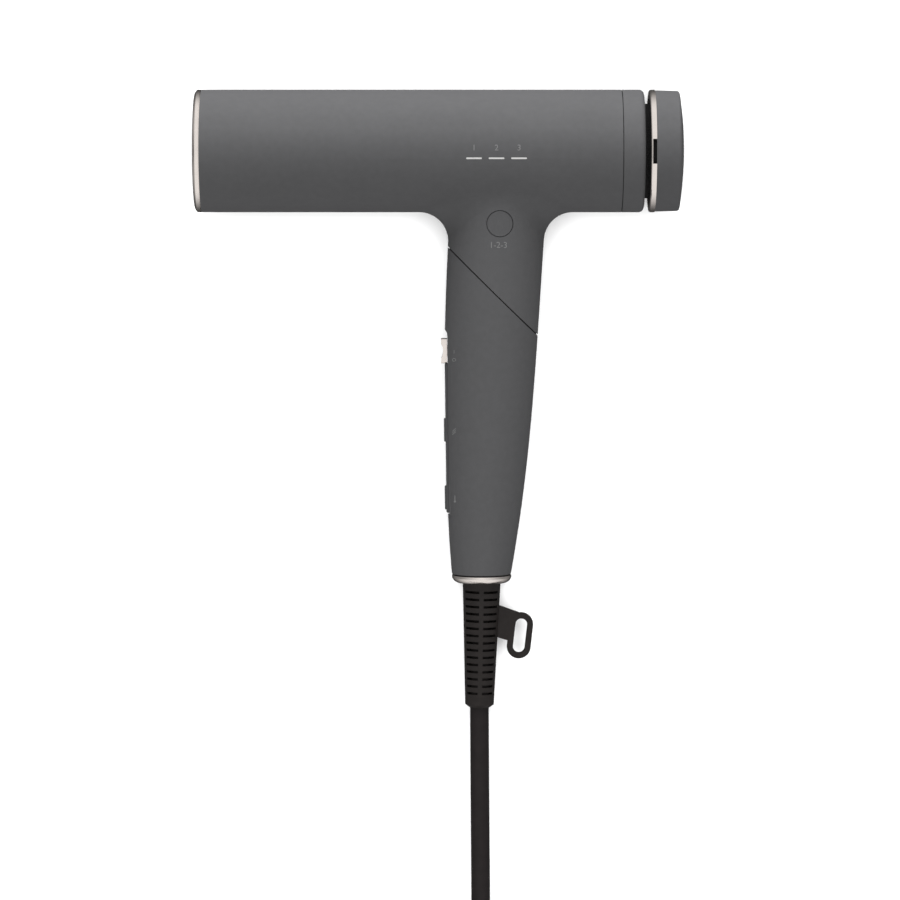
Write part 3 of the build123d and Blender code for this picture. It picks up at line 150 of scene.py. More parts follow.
@dataclass(frozen=True)
class Finish:
    """A surface finish, made as one procedural material.

    Args:
        name: the material's name.
        color: linear base colour.
        roughness: mean roughness.
        metallic: 1 for a bare metal, 0 for everything else.
        grain: size of the surface's grain in metres.
        depth: height of the grain in metres.
        mottle: how far the colour varies, as a share of it.
        smudge: how far the roughness varies.
        coat: lacquer over the base.
        specular: how strongly the base itself shines.
    """

    name: str
    color: Color
    roughness: float
    metallic: float = 0.0
    grain: float = 0.0004
    depth: float = 0.00001
    mottle: float = 0.06
    smudge: float = 0.05
    coat: Coat = Coat.NONE
    specular: float = 0.5

    def build(self) -> bpy.types.Material:
        """Makes the material.

        Returns:
            The new material.
        """
        material = bpy.data.materials.new(self.name)
        material.use_nodes = True
        tree = material.node_tree
        shader = tree.nodes["Principled BSDF"]
        shader.inputs["Metallic"].default_value = self.metallic
        shader.inputs["Coat Weight"].default_value = self.coat.value
        shader.inputs["Coat Roughness"].default_value = COAT_ROUGHNESS
        shader.inputs["Specular IOR Level"].default_value = self.specular
        place = self.place(tree)
        tree.links.new(self.tint(tree, place), shader.inputs["Base Color"])
        tree.links.new(self.polish(tree, place), shader.inputs["Roughness"])
        tree.links.new(self.relief(tree, place), shader.inputs["Normal"])
        return material

    def place(self, tree: Tree) -> Socket:
        """Returns the coordinates that the finish's patterns follow."""
        return tree.nodes.new("ShaderNodeTexCoord").outputs["Object"]

    def noise(self, tree: Tree, place: Socket, size: float, detail: float = 2.0) -> Socket:
        """Makes an even noise.

        Args:
            tree: the material's nodes.
            place: its coordinates.
            size: mean size of a blotch in metres.
            detail: how many finer layers it has.

        Returns:
            The noise's value, about 0.5.
        """
        node = tree.nodes.new("ShaderNodeTexNoise")
        node.inputs["Scale"].default_value = 1.0 / size
        node.inputs["Detail"].default_value = detail
        tree.links.new(place, node.inputs["Vector"])
        return node.outputs["Fac"]

    def spread(self, tree: Tree, value: Socket, low: float, high: float) -> Socket:
        """Maps a noise's middle range to a range of its own.

        Args:
            tree: the material's nodes.
            value: the noise.
            low: the result at the noise's low end.
            high: the result at its high end.

        Returns:
            The mapped value.
        """
        node = tree.nodes.new("ShaderNodeMapRange")
        node.inputs["From Min"].default_value = 0.3
        node.inputs["From Max"].default_value = 0.7
        node.inputs["To Min"].default_value = low
        node.inputs["To Max"].default_value = high
        tree.links.new(value, node.inputs["Value"])
        return node.outputs["Result"]

    def tint(self, tree: Tree, place: Socket) -> Socket:
        """Returns the base colour, slightly mottled."""
        mix = tree.nodes.new("ShaderNodeMix")
        mix.data_type = "RGBA"
        mix.inputs["A"].default_value = (*(c * (1 - self.mottle) for c in self.color), 1.0)
        mix.inputs["B"].default_value = (*(min(1.0, c * (1 + self.mottle)) for c in self.color), 1.0)
        blotches = self.spread(tree, self.noise(tree, place, max(6 * self.grain, 0.003)), 0.0, 1.0)
        tree.links.new(blotches, mix.inputs["Factor"])
        return mix.outputs["Result"]

    def polish(self, tree: Tree, place: Socket) -> Socket:
        """Returns the roughness, uneven where hands have rubbed it."""
        rubbed = self.noise(tree, place, 0.02, 4.0)
        low = max(0.02, self.roughness - self.smudge)
        return self.spread(tree, rubbed, low, min(1.0, self.roughness + self.smudge))

    def relief(self, tree: Tree, place: Socket) -> Socket:
        """Returns the surface's normal with its fine grain."""
        bump = tree.nodes.new("ShaderNodeBump")
        bump.inputs["Strength"].default_value = 1.0
        bump.inputs["Distance"].default_value = self.depth
        tree.links.new(self.noise(tree, place, self.grain, 3.0), bump.inputs["Height"])
        return bump.outputs["Normal"]


@dataclass(frozen=True)
class WovenWire(Finish):
    """Fine woven wire round the barrel's axis: two sets of wires that cross.

    Args:
        axis_y: where the barrel's axis lies, across the floor.
        axis_z: its height.
        reach: the sleeve's radius.
        pitch: distance from wire to wire.
    """

    axis_y: float = 0.112
    axis_z: float = 0.0275
    reach: float = 0.0212
    pitch: float = 0.0008

    def wires(self, tree: Tree, place: Socket) -> Socket:
        """Makes the wires' height.

        Args:
            tree: the material's nodes.
            place: its coordinates.

        Returns:
            1 on a wire's crown, and less in a mesh's middle.
        """
        parts = tree.nodes.new("ShaderNodeSeparateXYZ")
        tree.links.new(place, parts.inputs["Vector"])
        across = calculate(tree, "SUBTRACT", parts.outputs["Y"], self.axis_y)
        above = calculate(tree, "SUBTRACT", parts.outputs["Z"], self.axis_z)
        turn = calculate(tree, "ARCTAN2", across, above)
        round_wires = self.wave(tree, calculate(tree, "MULTIPLY", turn, self.reach))
        long_wires = self.wave(tree, parts.outputs["X"])
        return calculate(tree, "MAXIMUM", round_wires, long_wires)

    def wave(self, tree: Tree, along: Socket) -> Socket:
        """Makes a row of round wires.

        Args:
            tree: the material's nodes.
            along: a length in metres, across the wires.

        Returns:
            The wires' height.
        """
        return calculate(tree, "SINE", calculate(tree, "MULTIPLY", along, 2 * math.pi / self.pitch))

    def tint(self, tree: Tree, place: Socket) -> Socket:
        """Returns the colour, dark between the wires."""
        mix = tree.nodes.new("ShaderNodeMix")
        mix.data_type = "RGBA"
        mix.inputs["A"].default_value = (*MESH_SHADOW, 1.0)
        mix.inputs["B"].default_value = (*self.color, 1.0)
        tree.links.new(self.wires(tree, place), mix.inputs["Factor"])
        return mix.outputs["Result"]

    def relief(self, tree: Tree, place: Socket) -> Socket:
        """Returns the normal of the crossing wires."""
        bump = tree.nodes.new("ShaderNodeBump")
        bump.inputs["Strength"].default_value = 1.0
        bump.inputs["Distance"].default_value = self.depth
        tree.links.new(self.wires(tree, place), bump.inputs["Height"])
        return bump.outputs["Normal"]


SOFT_GREY = Finish(
    "soft_touch_grey", (0.083, 0.083, 0.0855), 0.6, grain=0.00022, depth=0.000006, mottle=0.03, specular=0.3
)
HANDLE_GREY = replace(SOFT_GREY, name="soft_touch_handle", color=(0.081, 0.081, 0.0835))
CAP_GREY = replace(HANDLE_GREY, name="soft_touch_cap")
MODE_GREY = replace(HANDLE_GREY, name="soft_touch_button", roughness=0.58)
PANEL_GREY = Finish("satin_panel", (0.062, 0.062, 0.064), 0.5, grain=0.0003, depth=0.000004, specular=0.35)
BUTTON_GREY = replace(PANEL_GREY, name="satin_buttons", color=(0.072, 0.072, 0.074), grain=0.00025)
# Near-black: the inner parts' own black, darkened further as painted shade in the gaps of the shell where
# they show.
BLACK_PLASTIC_AND_GAP_SHADE = Finish("moulded_black_and_gap_shade", (0.006, 0.0055, 0.0055), 0.5, depth=0.000012, specular=0.2)
WARM_CHROME = Finish(
    "warm_chrome",
    (0.84, 0.775, 0.73),
    0.22,
    metallic=1.0,
    grain=0.0006,
    depth=0.000001,
    mottle=0.02,
    smudge=0.03,
)
NICKEL = Finish("bright_nickel", (0.78, 0.76, 0.71), 0.2, metallic=1.0, grain=0.0008, depth=0.000002)
STEEL = Finish("plain_steel", (0.55, 0.55, 0.56), 0.34, metallic=1.0, grain=0.0006, depth=0.000006)
HEATING_WIRE = Finish("resistance_wire", (0.35, 0.31, 0.27), 0.45, metallic=1.0, grain=0.0008)
ALUMINIUM = Finish("heat_sink", (0.66, 0.67, 0.68), 0.4, metallic=1.0, grain=0.0005)
BLACK_WIRE = WovenWire("black_woven_wire", (0.012, 0.012, 0.0125), 0.5, metallic=0.3, depth=0.00015)
MICA = Finish("mica_sheet", shade(0.72, 0.64, 0.52), 0.5, grain=0.0025, depth=0.00003, mottle=0.25)
CERAMIC = Finish("glazed_ceramic", shade(0.9, 0.88, 0.84), 0.25, coat=Coat.THIN)
CIRCUIT = Finish("solder_mask", shade(0.08, 0.33, 0.16), 0.35, grain=0.0012, depth=0.00002, coat=Coat.THIN)
AMBER = Finish("film_capacitor", shade(0.82, 0.55, 0.12), 0.25, coat=Coat.GLOSSY)
FAN_BLACK = Finish("fan_plastic", (0.02, 0.02, 0.02), 0.35)
LENS = Finish("milky_lens", (0.62, 0.62, 0.61), 0.35, mottle=0.02, coat=Coat.THIN)
SOFT_BLACK = Finish(
    "soft_black_rubber", (0.0145, 0.0118, 0.011), 0.62, depth=0.000015, mottle=0.15, specular=0.3
)
JACKET = Finish("cord_jacket", (0.0122, 0.0095, 0.0096), 0.6, grain=0.0007, mottle=0.12, specular=0.25)
PLUG_BLACK = Finish(
    "plug_rubber", (0.0125, 0.0105, 0.0102), 0.55, grain=0.0005, depth=0.00002, mottle=0.1, specular=0.3
)
PRINT = Finish("pad_printing", (0.19, 0.19, 0.192), 0.6, mottle=0.02, specular=0.3)
FLOOR = Finish("pale_floor", (0.9, 0.9, 0.9), 0.9, grain=0.01, mottle=0.004, specular=0.0)

FINISHES: dict[Finish, tuple[str, ...]] = {
    SOFT_GREY: ("barrel_housing", "rear_collar"),
    HANDLE_GREY: ("handle_housing",),
    CAP_GREY: ("filter_cap",),
    PANEL_GREY: ("switch_panel",),
    BUTTON_GREY: ("speed_button", "heat_button"),
    MODE_GREY: ("mode_button",),
    WARM_CHROME: ("front_ring", "cap_trim_ring", "end_ring", "power_slider"),
    BLACK_PLASTIC_AND_GAP_SHADE: (
        "outlet_sleeve", "outlet_grille", "air_duct", "inlet_cage", "filter_frame", "neck_plate",
        "handle_plate", "slide_switch", "tact_switches", "handle_chassis", "ion_generator", "cord_clamp",
    ),
    # seam_gasket is a thin black sheet in the seam between barrel and handle; its black is painted shade
    # for that seam.
    SOFT_BLACK: ("motor_damper", "end_seal", "seam_gasket", "strain_relief", "hanging_loop", "cord_tie"),
    STEEL: (
        "heater_liner", "thermostat", "motor_can", "motor_shaft", "keeper_disc", "neck_screws",
        "handle_screws", "pivot_tube", "retaining_ring", "wave_washer", "stop_pin",
    ),
    BLACK_WIRE: ("filter_mesh",),
    NICKEL: ("cap_magnet", "plug_pins"),
    MICA: ("mica_frame",),
    HEATING_WIRE: ("heating_coil",),
    CERAMIC: ("ion_emitter",),
    CIRCUIT: ("indicator_strip", "mode_switch", "switch_board", "control_board"),
    AMBER: ("film_capacitor",),
    ALUMINIUM: ("triac_heatsink",),
    FAN_BLACK: ("fan_rotor",),
    LENS: ("indicator_lenses",),
    JACKET: ("wire_harness", "plug_boot"),
    PLUG_BLACK: ("plug_body",),
}


class Paintshop:
    """Makes each finish's material once and hands it out."""

    def __init__(self) -> None:
        """Starts with no material made."""
        self.made: dict[Finish, bpy.types.Material] = {}

    def material(self, finish: Finish) -> bpy.types.Material:
        """Returns the finish's material, made on first use."""
        if finish not in self.made:
            self.made[finish] = finish.build()
        return self.made[finish]

    def dress(self, piece: Piece, finish: Finish) -> None:
        """Gives a piece one finish all over.

        Args:
            piece: the object to dress.
            finish: what it is dressed in.
        """
        if not piece.material_slots:
            piece.data.materials.append(self.material(finish))
        for slot in piece.material_slots:
            slot.material = self.material(finish)
        log.info("%s: %s", piece.name, finish.name)


# ---------------------------------------------------------------- the mains cord


@dataclass
class MainsCord:
    """The mains cord: a straight lead, a put-away coil and a plug that lies beside it.

    Attributes:
        paint: hands out the jacket's finish.
        diameter: the cord's diameter.
        lead: the route from the strain relief's tip, the same points as the solid's.
        exit_x: where the cord leaves the strain relief, across the handle.
        exit_height: how high it leaves.
        exit_overlap: how far its start lies inside the strain relief.
        entry_radius: the coil's radius where the lead runs into it.
        turns_in: the turns on the floor.
        turns_out: the turns on top.
        climb: the part of a turn that it rises over.
        layer: how much higher the top turns lie.
        entry_stub: how far before the lead's end the coil's middle lies.
        points_per_turn: the spline's points for each turn.
        length: the cord's real length; not used.
    """

    paint: Paintshop
    diameter: float = 8.5 * MM
    lead: tuple[Point, ...] = (
        (18.4 * MM, -180.5 * MM, 6.0 * MM),
        (18.8 * MM, -224.0 * MM, 4.25 * MM),
        (18.8 * MM, -264.0 * MM, 4.25 * MM),
    )
    exit_x: float = 18.16 * MM
    exit_height: float = 9.0 * MM
    exit_overlap: float = 0.3 * MM
    entry_radius: float = 61.0 * MM
    turns_in: float = 2.5
    turns_out: float = 2.25
    climb: float = 0.25
    layer: float = 8.2 * MM
    entry_stub: float = 34.0 * MM
    points_per_turn: int = 24
    length: float = 1.75

    @property
    def centre(self) -> tuple[float, float]:
        """The coil's middle, seen from above."""
        return self.lead[-1][0] - self.entry_radius, self.lead[-1][1] - self.entry_stub

    @property
    def turns(self) -> float:
        """How many turns the coil has."""
        return self.turns_in + self.climb + self.turns_out

    def layer_at(self, turn: float) -> tuple[float, float]:
        """Follows the coil: inwards on the floor, up, and outwards on top.

        Args:
            turn: how many turns it has run.

        Returns:
            Its radius and height there.
        """
        inwards = min(turn, self.turns_in)
        outwards = max(0.0, turn - self.turns_in - self.climb)
        rise = min(max((turn - self.turns_in) / self.climb, 0.0), 1.0)
        radius = self.entry_radius - self.diameter * (inwards - outwards)
        return radius, self.diameter / 2 + self.layer * rise * rise * (3 - 2 * rise)

    def coil(self) -> list[Point]:
        """Works out the coil's turns.

        Returns:
            The turns' points, in the order that the cord runs through them.
        """
        centre_x, centre_y = self.centre
        points = []
        for step in range(round(self.turns * self.points_per_turn) + 1):
            turn = step / self.points_per_turn
            radius, height = self.layer_at(turn)
            angle = -2 * math.pi * turn
            away = (centre_x + radius * math.cos(angle), centre_y + radius * math.sin(angle))
            points.append((*away, height))
        return points

    def route(self, exit_point: Point, plug_point: Point) -> list[Point]:
        """Puts the whole route together.

        Args:
            exit_point: where the cord leaves the strain relief.
            plug_point: where it enters the plug's boot.

        Returns:
            The spline's control points.
        """
        return [exit_point, *self.lead, *self.coil(), plug_point]

    def build(self) -> None:
        lead_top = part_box("power_cord")[1][1]
        exit_point = (self.exit_x, lead_top - self.exit_overlap, self.exit_height)
        boot_low, boot_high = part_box("plug_boot")
        plug_point = ((boot_low[0] + boot_high[0]) / 2, boot_high[1], (boot_low[2] + boot_high[2]) / 2)
        points = self.route(exit_point, plug_point)
        curve = bpy.data.curves.new("mains_cord", "CURVE")
        curve.dimensions = "3D"
        spline = curve.splines.new("NURBS")
        spline.points.add(len(points) - 1)
        for place, point in zip(spline.points, points):
            place.co = (*point, 1.0)
        spline.order_u = 3
        spline.use_endpoint_u = True
        spline.resolution_u = 5
        curve.bevel_depth = self.diameter / 2
        curve.bevel_resolution = 5
        curve.use_fill_caps = True
        piece = bpy.data.objects.new("mains_cord", curve)
        bpy.context.scene.collection.objects.link(piece)
        self.paint.dress(piece, JACKET)
        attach(piece, "handle")
        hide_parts("power_cord", "cord_coil")
        CordTie(self).build()
        log.info("mains cord: %d route points", len(points))


@dataclass
class CordTie:
    """The moulded strap that is pulled tight round the coil, with its snap on top.

    Attributes:
        cord: the cord that it holds.
        bearing: where on the coil it sits, in radians round its middle.
        width: the strap's width.
        thickness: its thickness.
        rounding: how round its edges are.
        floor_gap: how far it stays above the floor.
        points: the points once round it.
        weld: points closer than this become one, where it lies flat.
        snap_radius: the snap's radius.
        snap_height: how far the snap stands out.
        snap_points: the points round the snap.
        smooth_angle: edges flatter than this are shaded smooth.
    """

    cord: MainsCord
    bearing: float = math.radians(205.0)
    width: float = 12.0 * MM
    thickness: float = 1.1 * MM
    rounding: float = 0.35 * MM
    floor_gap: float = 0.15 * MM
    points: int = 72
    weld: float = 0.01 * MM
    snap_radius: float = 3.6 * MM
    snap_height: float = 1.0 * MM
    snap_points: int = 40
    smooth_angle: float = math.radians(35.0)

    def strands(self) -> list[tuple[float, float]]:
        """Finds the cord's turns where the strap crosses them.

        Returns:
            Each turn's distance from the coil's middle, and its height.
        """
        first = (-self.bearing / (2 * math.pi)) % 1.0
        return [self.cord.layer_at(first + turn) for turn in range(math.ceil(self.cord.turns - first))]

    def wrap(self) -> list[tuple[float, float]]:
        """Wraps the strap tight round the turns.

        Returns:
            The points of its inner face, as distance from the coil's middle and height.
        """
        strands = self.strands()
        lowest = self.floor_gap + self.thickness
        line = []
        for step in range(self.points):
            angle = 2 * math.pi * step / self.points
            away, up = math.cos(angle), math.sin(angle)
            outermost = max(strands, key=lambda strand: strand[0] * away + strand[1] * up)
            height = outermost[1] + self.cord.diameter / 2 * up
            line.append((outermost[0] + self.cord.diameter / 2 * away, max(height, lowest)))
        return line

    def band(self) -> Piece:
        """Models the strap itself and returns it."""
        centre_x, centre_y = self.cord.centre
        outwards = Vector((math.cos(self.bearing), math.sin(self.bearing), 0.0))
        across = Vector((-outwards.y, outwards.x, 0.0))
        start = Vector((centre_x, centre_y, 0.0)) - across * self.width / 2
        bpy.ops.object.select_all(action="DESELECT")
        bpy.ops.mesh.primitive_circle_add(vertices=self.points, radius=self.width)
        piece = bpy.context.object
        for vertex, (distance, height) in zip(piece.data.vertices, self.wrap()):
            vertex.co = start + outwards * distance + Vector((0.0, 0.0, height))
        bpy.ops.object.mode_set(mode="EDIT")
        bpy.ops.mesh.select_all(action="SELECT")
        bpy.ops.mesh.extrude_edges_move(TRANSFORM_OT_translate={"value": across * self.width})
        bpy.ops.mesh.select_all(action="SELECT")
        bpy.ops.mesh.remove_doubles(threshold=self.weld)
        bpy.ops.mesh.normals_make_consistent(inside=False)
        bpy.ops.object.mode_set(mode="OBJECT")
        wall = piece.modifiers.new("wall", "SOLIDIFY")
        wall.thickness = self.thickness
        wall.offset = 1.0
        bpy.ops.object.modifier_apply(modifier=wall.name)
        round_edges(piece, self.rounding)
        return piece

    def snap(self) -> Piece:
        """Models the snap on top of the strap and returns it."""
        centre_x, centre_y = self.cord.centre
        inner, outer = sorted(distance for distance, _ in self.strands())[1:3]
        top = max(height for _, height in self.wrap()) + self.thickness
        distance = (inner + outer) / 2
        bpy.ops.object.select_all(action="DESELECT")
        bpy.ops.mesh.primitive_cylinder_add(
            vertices=self.snap_points,
            radius=self.snap_radius,
            depth=2 * self.snap_height,
            location=(
                centre_x + distance * math.cos(self.bearing),
                centre_y + distance * math.sin(self.bearing),
                top,
            ),
        )
        piece = bpy.context.object
        round_edges(piece, self.rounding)
        return piece

    def build(self) -> Piece:
        """Models the tie in place of the plain CAD one.

        Returns:
            The finished piece.
        """
        band = self.band()
        snap = self.snap()
        bpy.ops.object.select_all(action="DESELECT")
        snap.select_set(True)
        band.select_set(True)
        bpy.context.view_layer.objects.active = band
        bpy.ops.object.join()
        band.name = "moulded_tie"
        bpy.ops.object.transform_apply(location=True, rotation=True, scale=True)
        bpy.ops.object.shade_smooth_by_angle(angle=self.smooth_angle)
        self.cord.paint.dress(band, SOFT_BLACK)
        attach(band, "handle")
        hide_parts("cord_tie")
        log.info("moulded tie: %d faces round %d turns", len(band.data.polygons), len(self.strands()))
        return band


# ---------------------------------------------------------------- printed marks


@dataclass(frozen=True)
class Mark:
    """One printed sign, as a thin film of ink that follows the shell under it.

    Attributes:
        name: the piece's name.
        node: the shell that it is printed on.
        body: the body that it moves with.
        place: its middle, seen from above.
        start_height: how high it is drawn, before it is laid down on the shell.
        proud: how far its face stands out of the shell.
        thickness: the ink's thickness, most of it in the shell.
    """

    name: str
    node: str
    body: str
    place: tuple[float, float]
    start_height: float = 90.0 * MM
    proud: float = 0.06 * MM
    thickness: float = 0.12 * MM

    def outline(self) -> Piece:
        """Draws the sign flat, above the shell, and returns it."""
        raise NotImplementedError

    def build(self, paint: Paintshop) -> Piece:
        """Draws the sign and lays it on the shell.

        Args:
            paint: hands out the ink.

        Returns:
            The finished piece.
        """
        piece = self.outline()
        piece.name = self.name
        bpy.ops.object.transform_apply(location=True, rotation=True, scale=True)
        bpy.ops.object.mode_set(mode="EDIT")
        bpy.ops.mesh.select_all(action="SELECT")
        bpy.ops.mesh.remove_doubles(threshold=WELD)
        bpy.ops.object.mode_set(mode="OBJECT")
        wrap = piece.modifiers.new("follow_the_shell", "SHRINKWRAP")
        wrap.target = bpy.data.objects[self.node]
        wrap.wrap_method = "PROJECT"
        wrap.use_project_z = True
        wrap.use_positive_direction = False
        wrap.use_negative_direction = True
        wrap.offset = self.proud
        ink = piece.modifiers.new("ink", "SOLIDIFY")
        ink.thickness = self.thickness
        ink.offset = -1.0
        bpy.ops.object.modifier_apply(modifier=wrap.name)
        bpy.ops.object.modifier_apply(modifier=ink.name)
        paint.dress(piece, PRINT)
        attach(piece, self.body)
        top = max((piece.matrix_world @ vertex.co).z for vertex in piece.data.vertices)
        log.info("%s: %d faces, top at %.1f mm", self.name, len(piece.data.polygons), top / MM)
        return piece


@dataclass(frozen=True)
class Figure(Mark):
    """A plain numeral or letter.

    Attributes:
        text: what it says.
        size: the type's size.
    """

    text: str = "1"
    size: float = 3.7 * MM

    def outline(self) -> Piece:
        """Sets the figure in plain type, as a flat mesh."""
        bpy.ops.object.select_all(action="DESELECT")
        bpy.ops.object.text_add(location=(*self.place, self.start_height))
        piece = bpy.context.object
        piece.data.body = self.text
        piece.data.size = self.size
        piece.data.align_x = "CENTER"
        piece.data.align_y = "CENTER"
        bpy.ops.object.convert(target="MESH")
        return bpy.context.object


@dataclass(frozen=True)
class Bars(Mark):
    """A stack of thin strokes, with a dot under them where there is one.

    Attributes:
        count: how many strokes.
        length: each stroke's length.
        width: each stroke's width.
        pitch: from one stroke to the next.
        angle: how far each leans from level.
        dot: the dot's radius, or 0 for none.
        dot_points: the points round the dot.
    """

    count: int = 1
    length: float = 2.0 * MM
    width: float = 0.3 * MM
    pitch: float = 0.8 * MM
    angle: float = 0.0
    dot: float = 0.0
    dot_points: int = 20

    def outline(self) -> Piece:
        """Lays the strokes and the dot out, as one flat mesh."""
        bpy.ops.object.select_all(action="DESELECT")
        pieces = []
        for index in range(self.count):
            height = self.place[1] + (index - (self.count - 1) / 2) * self.pitch
            bpy.ops.mesh.primitive_grid_add(
                x_subdivisions=4,
                y_subdivisions=1,
                size=1.0,
                location=(self.place[0], height, self.start_height),
                rotation=(0.0, 0.0, self.angle),
            )
            bpy.context.object.scale = (self.length, self.width, 1.0)
            pieces.append(bpy.context.object)
        if self.dot:
            bpy.ops.mesh.primitive_circle_add(
                vertices=self.dot_points,
                radius=self.dot,
                fill_type="TRIFAN",
                location=(self.place[0], self.place[1] - self.length / 2 - self.dot, self.start_height),
            )
            pieces.append(bpy.context.object)
        for piece in pieces:
            piece.select_set(True)
        bpy.context.view_layer.objects.active = pieces[0]
        if len(pieces) > 1:
            bpy.ops.object.join()
        return bpy.context.object


FIRST_LAMP = (15.45 * MM, 111.6 * MM)   # above the first lamp
LAMP_PITCH = 10.0 * MM
SWITCH_PRINT_X = 6.6 * MM               # the row of signs beside the switches
ON_THE_BARREL = ("barrel_housing", "barrel")
ON_THE_HANDLE = ("handle_housing", "handle")


def numeral(index: int) -> Figure:
    """Makes the numeral above one of the lamps.

    Args:
        index: the lamp, from 0.

    Returns:
        Its mark.
    """
    place = (FIRST_LAMP[0] + index * LAMP_PITCH, FIRST_LAMP[1])
    return Figure(f"numeral_{index + 1}", *ON_THE_BARREL, place, text=str(index + 1))


MARKS: tuple[Mark, ...] = (
    *(numeral(index) for index in range(3)),
    Figure("mode_print", *ON_THE_BARREL, (26.4 * MM, 69.0 * MM), text="1-2-3", size=3.8 * MM),
    Figure("power_on_print", *ON_THE_HANDLE, (SWITCH_PRINT_X, 21.6 * MM), text="I", size=2.2 * MM),
    Figure("power_off_print", *ON_THE_HANDLE, (SWITCH_PRINT_X, 18.0 * MM), text="O", size=2.2 * MM),
    Bars(
        "speed_print",
        *ON_THE_HANDLE,
        (SWITCH_PRINT_X, -14.1 * MM),
        count=3,
        width=0.24 * MM,
        pitch=0.75 * MM,
        angle=math.radians(40.0),
    ),
    Bars(
        "heat_print",
        *ON_THE_HANDLE,
        (7.0 * MM, -44.0 * MM),
        length=2.2 * MM,
        width=0.4 * MM,
        angle=math.radians(90.0),
        dot=0.5 * MM,
    ),
)


# ---------------------------------------------------------------- studio


class Lights(Enum):
    """What a soft box falls on."""

    FLOOR_ONLY = "INCLUDE"
    ALL_BUT_FLOOR = "EXCLUDE"


@dataclass(frozen=True)
class SoftBox:
    """A rectangular soft box.

    Args:
        name: its name.
        place: where it hangs.
        target: what it faces.
        size: its width and height.
        glow: how bright its face is, where a white floor in full light is 1.
        lights: what it falls on.
    """

    name: str
    place: Point
    target: Point
    size: tuple[float, float]
    glow: float
    lights: Lights = Lights.ALL_BUT_FLOOR


SOFT_BOXES = (
    SoftBox("back_softbox", (0.0, 1.5, 0.62), (0.0, 0.0, 0.03), (2.2, 1.3), 6.0),
    SoftBox("front_softbox", (0.0, -1.35, 0.85), (0.0, 0.0, 0.03), (1.8, 0.6), 2.6),
    SoftBox("overhead_softbox", (0.0, 0.0, 2.4), (0.0, 0.0, 0.0), (0.5, 1.2), 2.5),
    SoftBox("floor_wash", (0.0, 0.0, 2.6), (0.0, 0.0, 0.0), (3.0, 3.0), 5.4, Lights.FLOOR_ONLY),
)


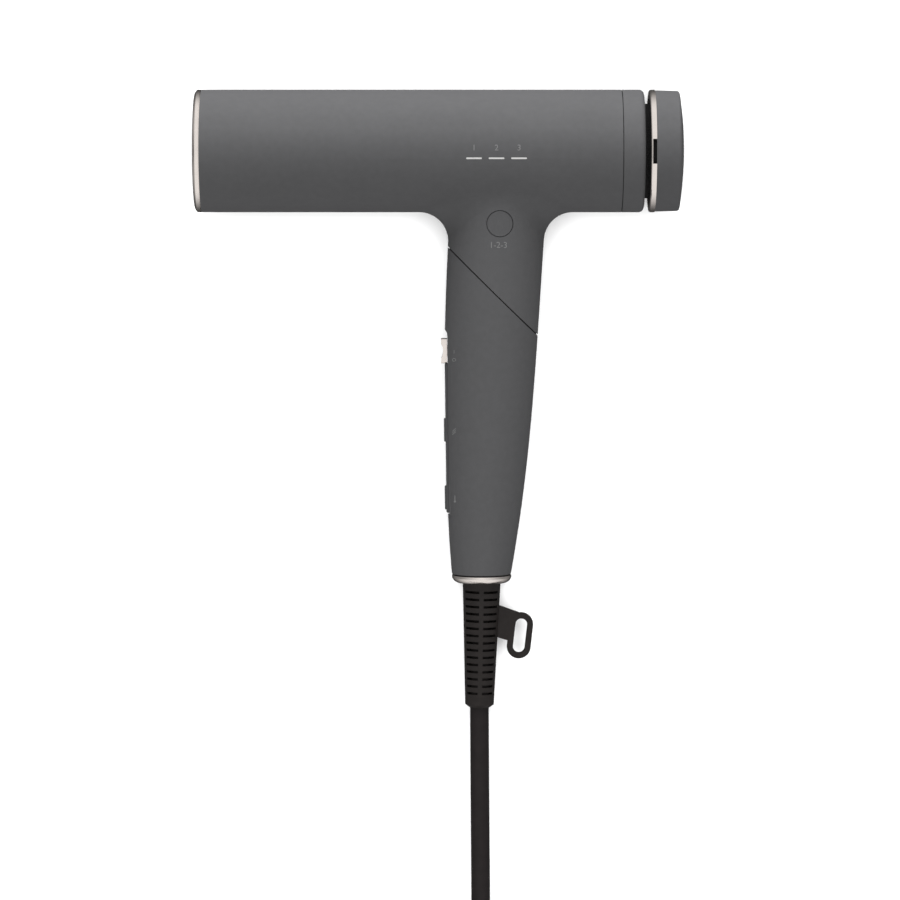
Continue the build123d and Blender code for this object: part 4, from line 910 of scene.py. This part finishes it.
@dataclass
class Studio:
    """The floor, the soft lights and the camera straight above.

    Attributes:
        paint: hands out the floor's finish.
        view_point: what the camera looks at, seen from above.
        camera_height: how high it hangs.
        seen_width: how much it takes in from side to side, at seen_height.
        seen_height: the height of the barrel's axis.
        ambient: the room's even light.
        gloss_low: how bright glossy surfaces show the room below and at both sides.
        gloss_high: how bright they show the arch overhead.
        gloss_fore_and_aft: how much wider the arch grows towards the front and the back.
        gloss_starts: the direction's height where the arch begins, from -1 below to 1 above.
        gloss_full: the height where it is at its brightest.
        floor_size: the floor's side.
        sensor: the camera's sensor width, in millimetres.
    """

    paint: Paintshop
    view_point: tuple[float, float] = (4.8 * MM, -22.4 * MM)
    camera_height: float = 1.95
    seen_width: float = 0.405
    seen_height: float = 27.5 * MM
    ambient: float = 0.45
    gloss_low: float = 0.06
    gloss_high: float = 1.15
    gloss_fore_and_aft: float = 0.5
    gloss_starts: float = -1.0
    gloss_full: float = 0.1
    floor_size: float = 8.0
    sensor: float = 36.0

    def floor(self) -> Piece:
        """Lays the pale floor and returns it."""
        bpy.ops.object.select_all(action="DESELECT")
        bpy.ops.mesh.primitive_plane_add(size=self.floor_size)
        piece = bpy.context.object
        piece.name = "floor"
        self.paint.dress(piece, FLOOR)
        piece.visible_diffuse = False
        piece.visible_glossy = False
        return piece

    def light(self, box: SoftBox, floor: Piece) -> None:
        """Hangs a soft box.

        Args:
            box: the soft box.
            floor: the floor, which it lights alone or not at all.
        """
        lamp = bpy.data.lights.new(box.name, "AREA")
        lamp.shape = "RECTANGLE"
        lamp.size, lamp.size_y = box.size
        lamp.energy = box.glow * math.pi * box.size[0] * box.size[1]
        piece = bpy.data.objects.new(box.name, lamp)
        piece.location = box.place
        piece.visible_glossy = False
        aim = Vector(box.target) - Vector(box.place)
        piece.rotation_euler = aim.to_track_quat("-Z", "Y").to_euler()
        bpy.context.scene.collection.objects.link(piece)
        lit = bpy.data.collections.new(box.name + "_lit")
        lit.objects.link(floor)
        lit.collection_objects[0].light_linking.link_state = box.lights.value
        piece.light_linking.receiver_collection = lit

    def camera(self) -> None:
        """Sets the camera straight above, with the barrel's axis across the picture."""
        lens = bpy.data.cameras.new("camera")
        lens.sensor_width = self.sensor
        lens.lens = self.sensor * (self.camera_height - self.seen_height) / self.seen_width
        lens.clip_start = 0.05
        lens.clip_end = 50.0
        piece = bpy.data.objects.new("camera", lens)
        piece.location = (*self.view_point, self.camera_height)
        bpy.context.scene.collection.objects.link(piece)
        bpy.context.scene.camera = piece

    def build(self) -> None:
        """Sets the whole studio up."""
        floor = self.floor()
        self.camera()
        for box in SOFT_BOXES:
            self.light(box, floor)
        self.surroundings()
        bpy.context.scene.view_settings.view_transform = "Standard"

    def surroundings(self) -> None:
        """Fills the room with even light, and with a bright arch that only glossy surfaces show."""
        world = bpy.data.worlds.new("studio")
        world.use_nodes = True
        tree = world.node_tree
        even = tree.nodes["Background"]
        even.inputs["Color"].default_value = (1.0, 1.0, 1.0, 1.0)
        even.inputs["Strength"].default_value = self.ambient
        parts = tree.nodes.new("ShaderNodeSeparateXYZ")
        direction = tree.nodes.new("ShaderNodeTexCoord").outputs["Generated"]
        tree.links.new(direction, parts.inputs["Vector"])
        aside = calculate(tree, "ABSOLUTE", parts.outputs["X"])
        along = calculate(tree, "ABSOLUTE", parts.outputs["Y"])
        reach = calculate(tree, "MULTIPLY_ADD", along, self.gloss_fore_and_aft, 1.0)
        middle = calculate(tree, "SQRT", calculate(tree, "SUBTRACT", reach, aside, clamp=True))
        above = self.ramp(tree, parts.outputs["Z"], self.gloss_starts, self.gloss_full)
        arch = calculate(tree, "MULTIPLY", middle, above)
        shine = tree.nodes.new("ShaderNodeBackground")
        glow = tree.nodes.new("ShaderNodeMapRange")
        glow.inputs["To Min"].default_value = self.gloss_low
        glow.inputs["To Max"].default_value = self.gloss_high
        tree.links.new(arch, glow.inputs["Value"])
        tree.links.new(glow.outputs["Result"], shine.inputs["Strength"])
        mix = tree.nodes.new("ShaderNodeMixShader")
        glossy = tree.nodes.new("ShaderNodeLightPath").outputs["Is Glossy Ray"]
        tree.links.new(glossy, mix.inputs["Fac"])
        tree.links.new(even.outputs["Background"], mix.inputs[1])
        tree.links.new(shine.outputs["Background"], mix.inputs[2])
        tree.links.new(mix.outputs["Shader"], tree.nodes["World Output"].inputs["Surface"])
        bpy.context.scene.world = world

    def ramp(self, tree: Tree, value: Socket, start: float, end: float) -> Socket:
        """Rises smoothly from 0 to 1.

        Args:
            tree: the world's nodes.
            value: what it follows.
            start: where it is 0.
            end: where it is 1.

        Returns:
            The smooth value.
        """
        node = tree.nodes.new("ShaderNodeMapRange")
        node.interpolation_type = "SMOOTHSTEP"
        node.inputs["From Min"].default_value = start
        node.inputs["From Max"].default_value = end
        tree.links.new(value, node.inputs["Value"])
        return node.outputs["Result"]


def main() -> None:
    """Builds the studio, the cord and every finish."""
    logging.basicConfig(level=logging.INFO, format="%(name)s: %(message)s")
    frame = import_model()
    paint = Paintshop()
    for finish, names in FINISHES.items():
        for name in names:
            paint.dress(frame["nodes"][name], finish)
    Studio(paint).build()
    MainsCord(paint).build()
    for mark in MARKS:
        mark.build(paint)


if __name__ == "__main__":
    main()
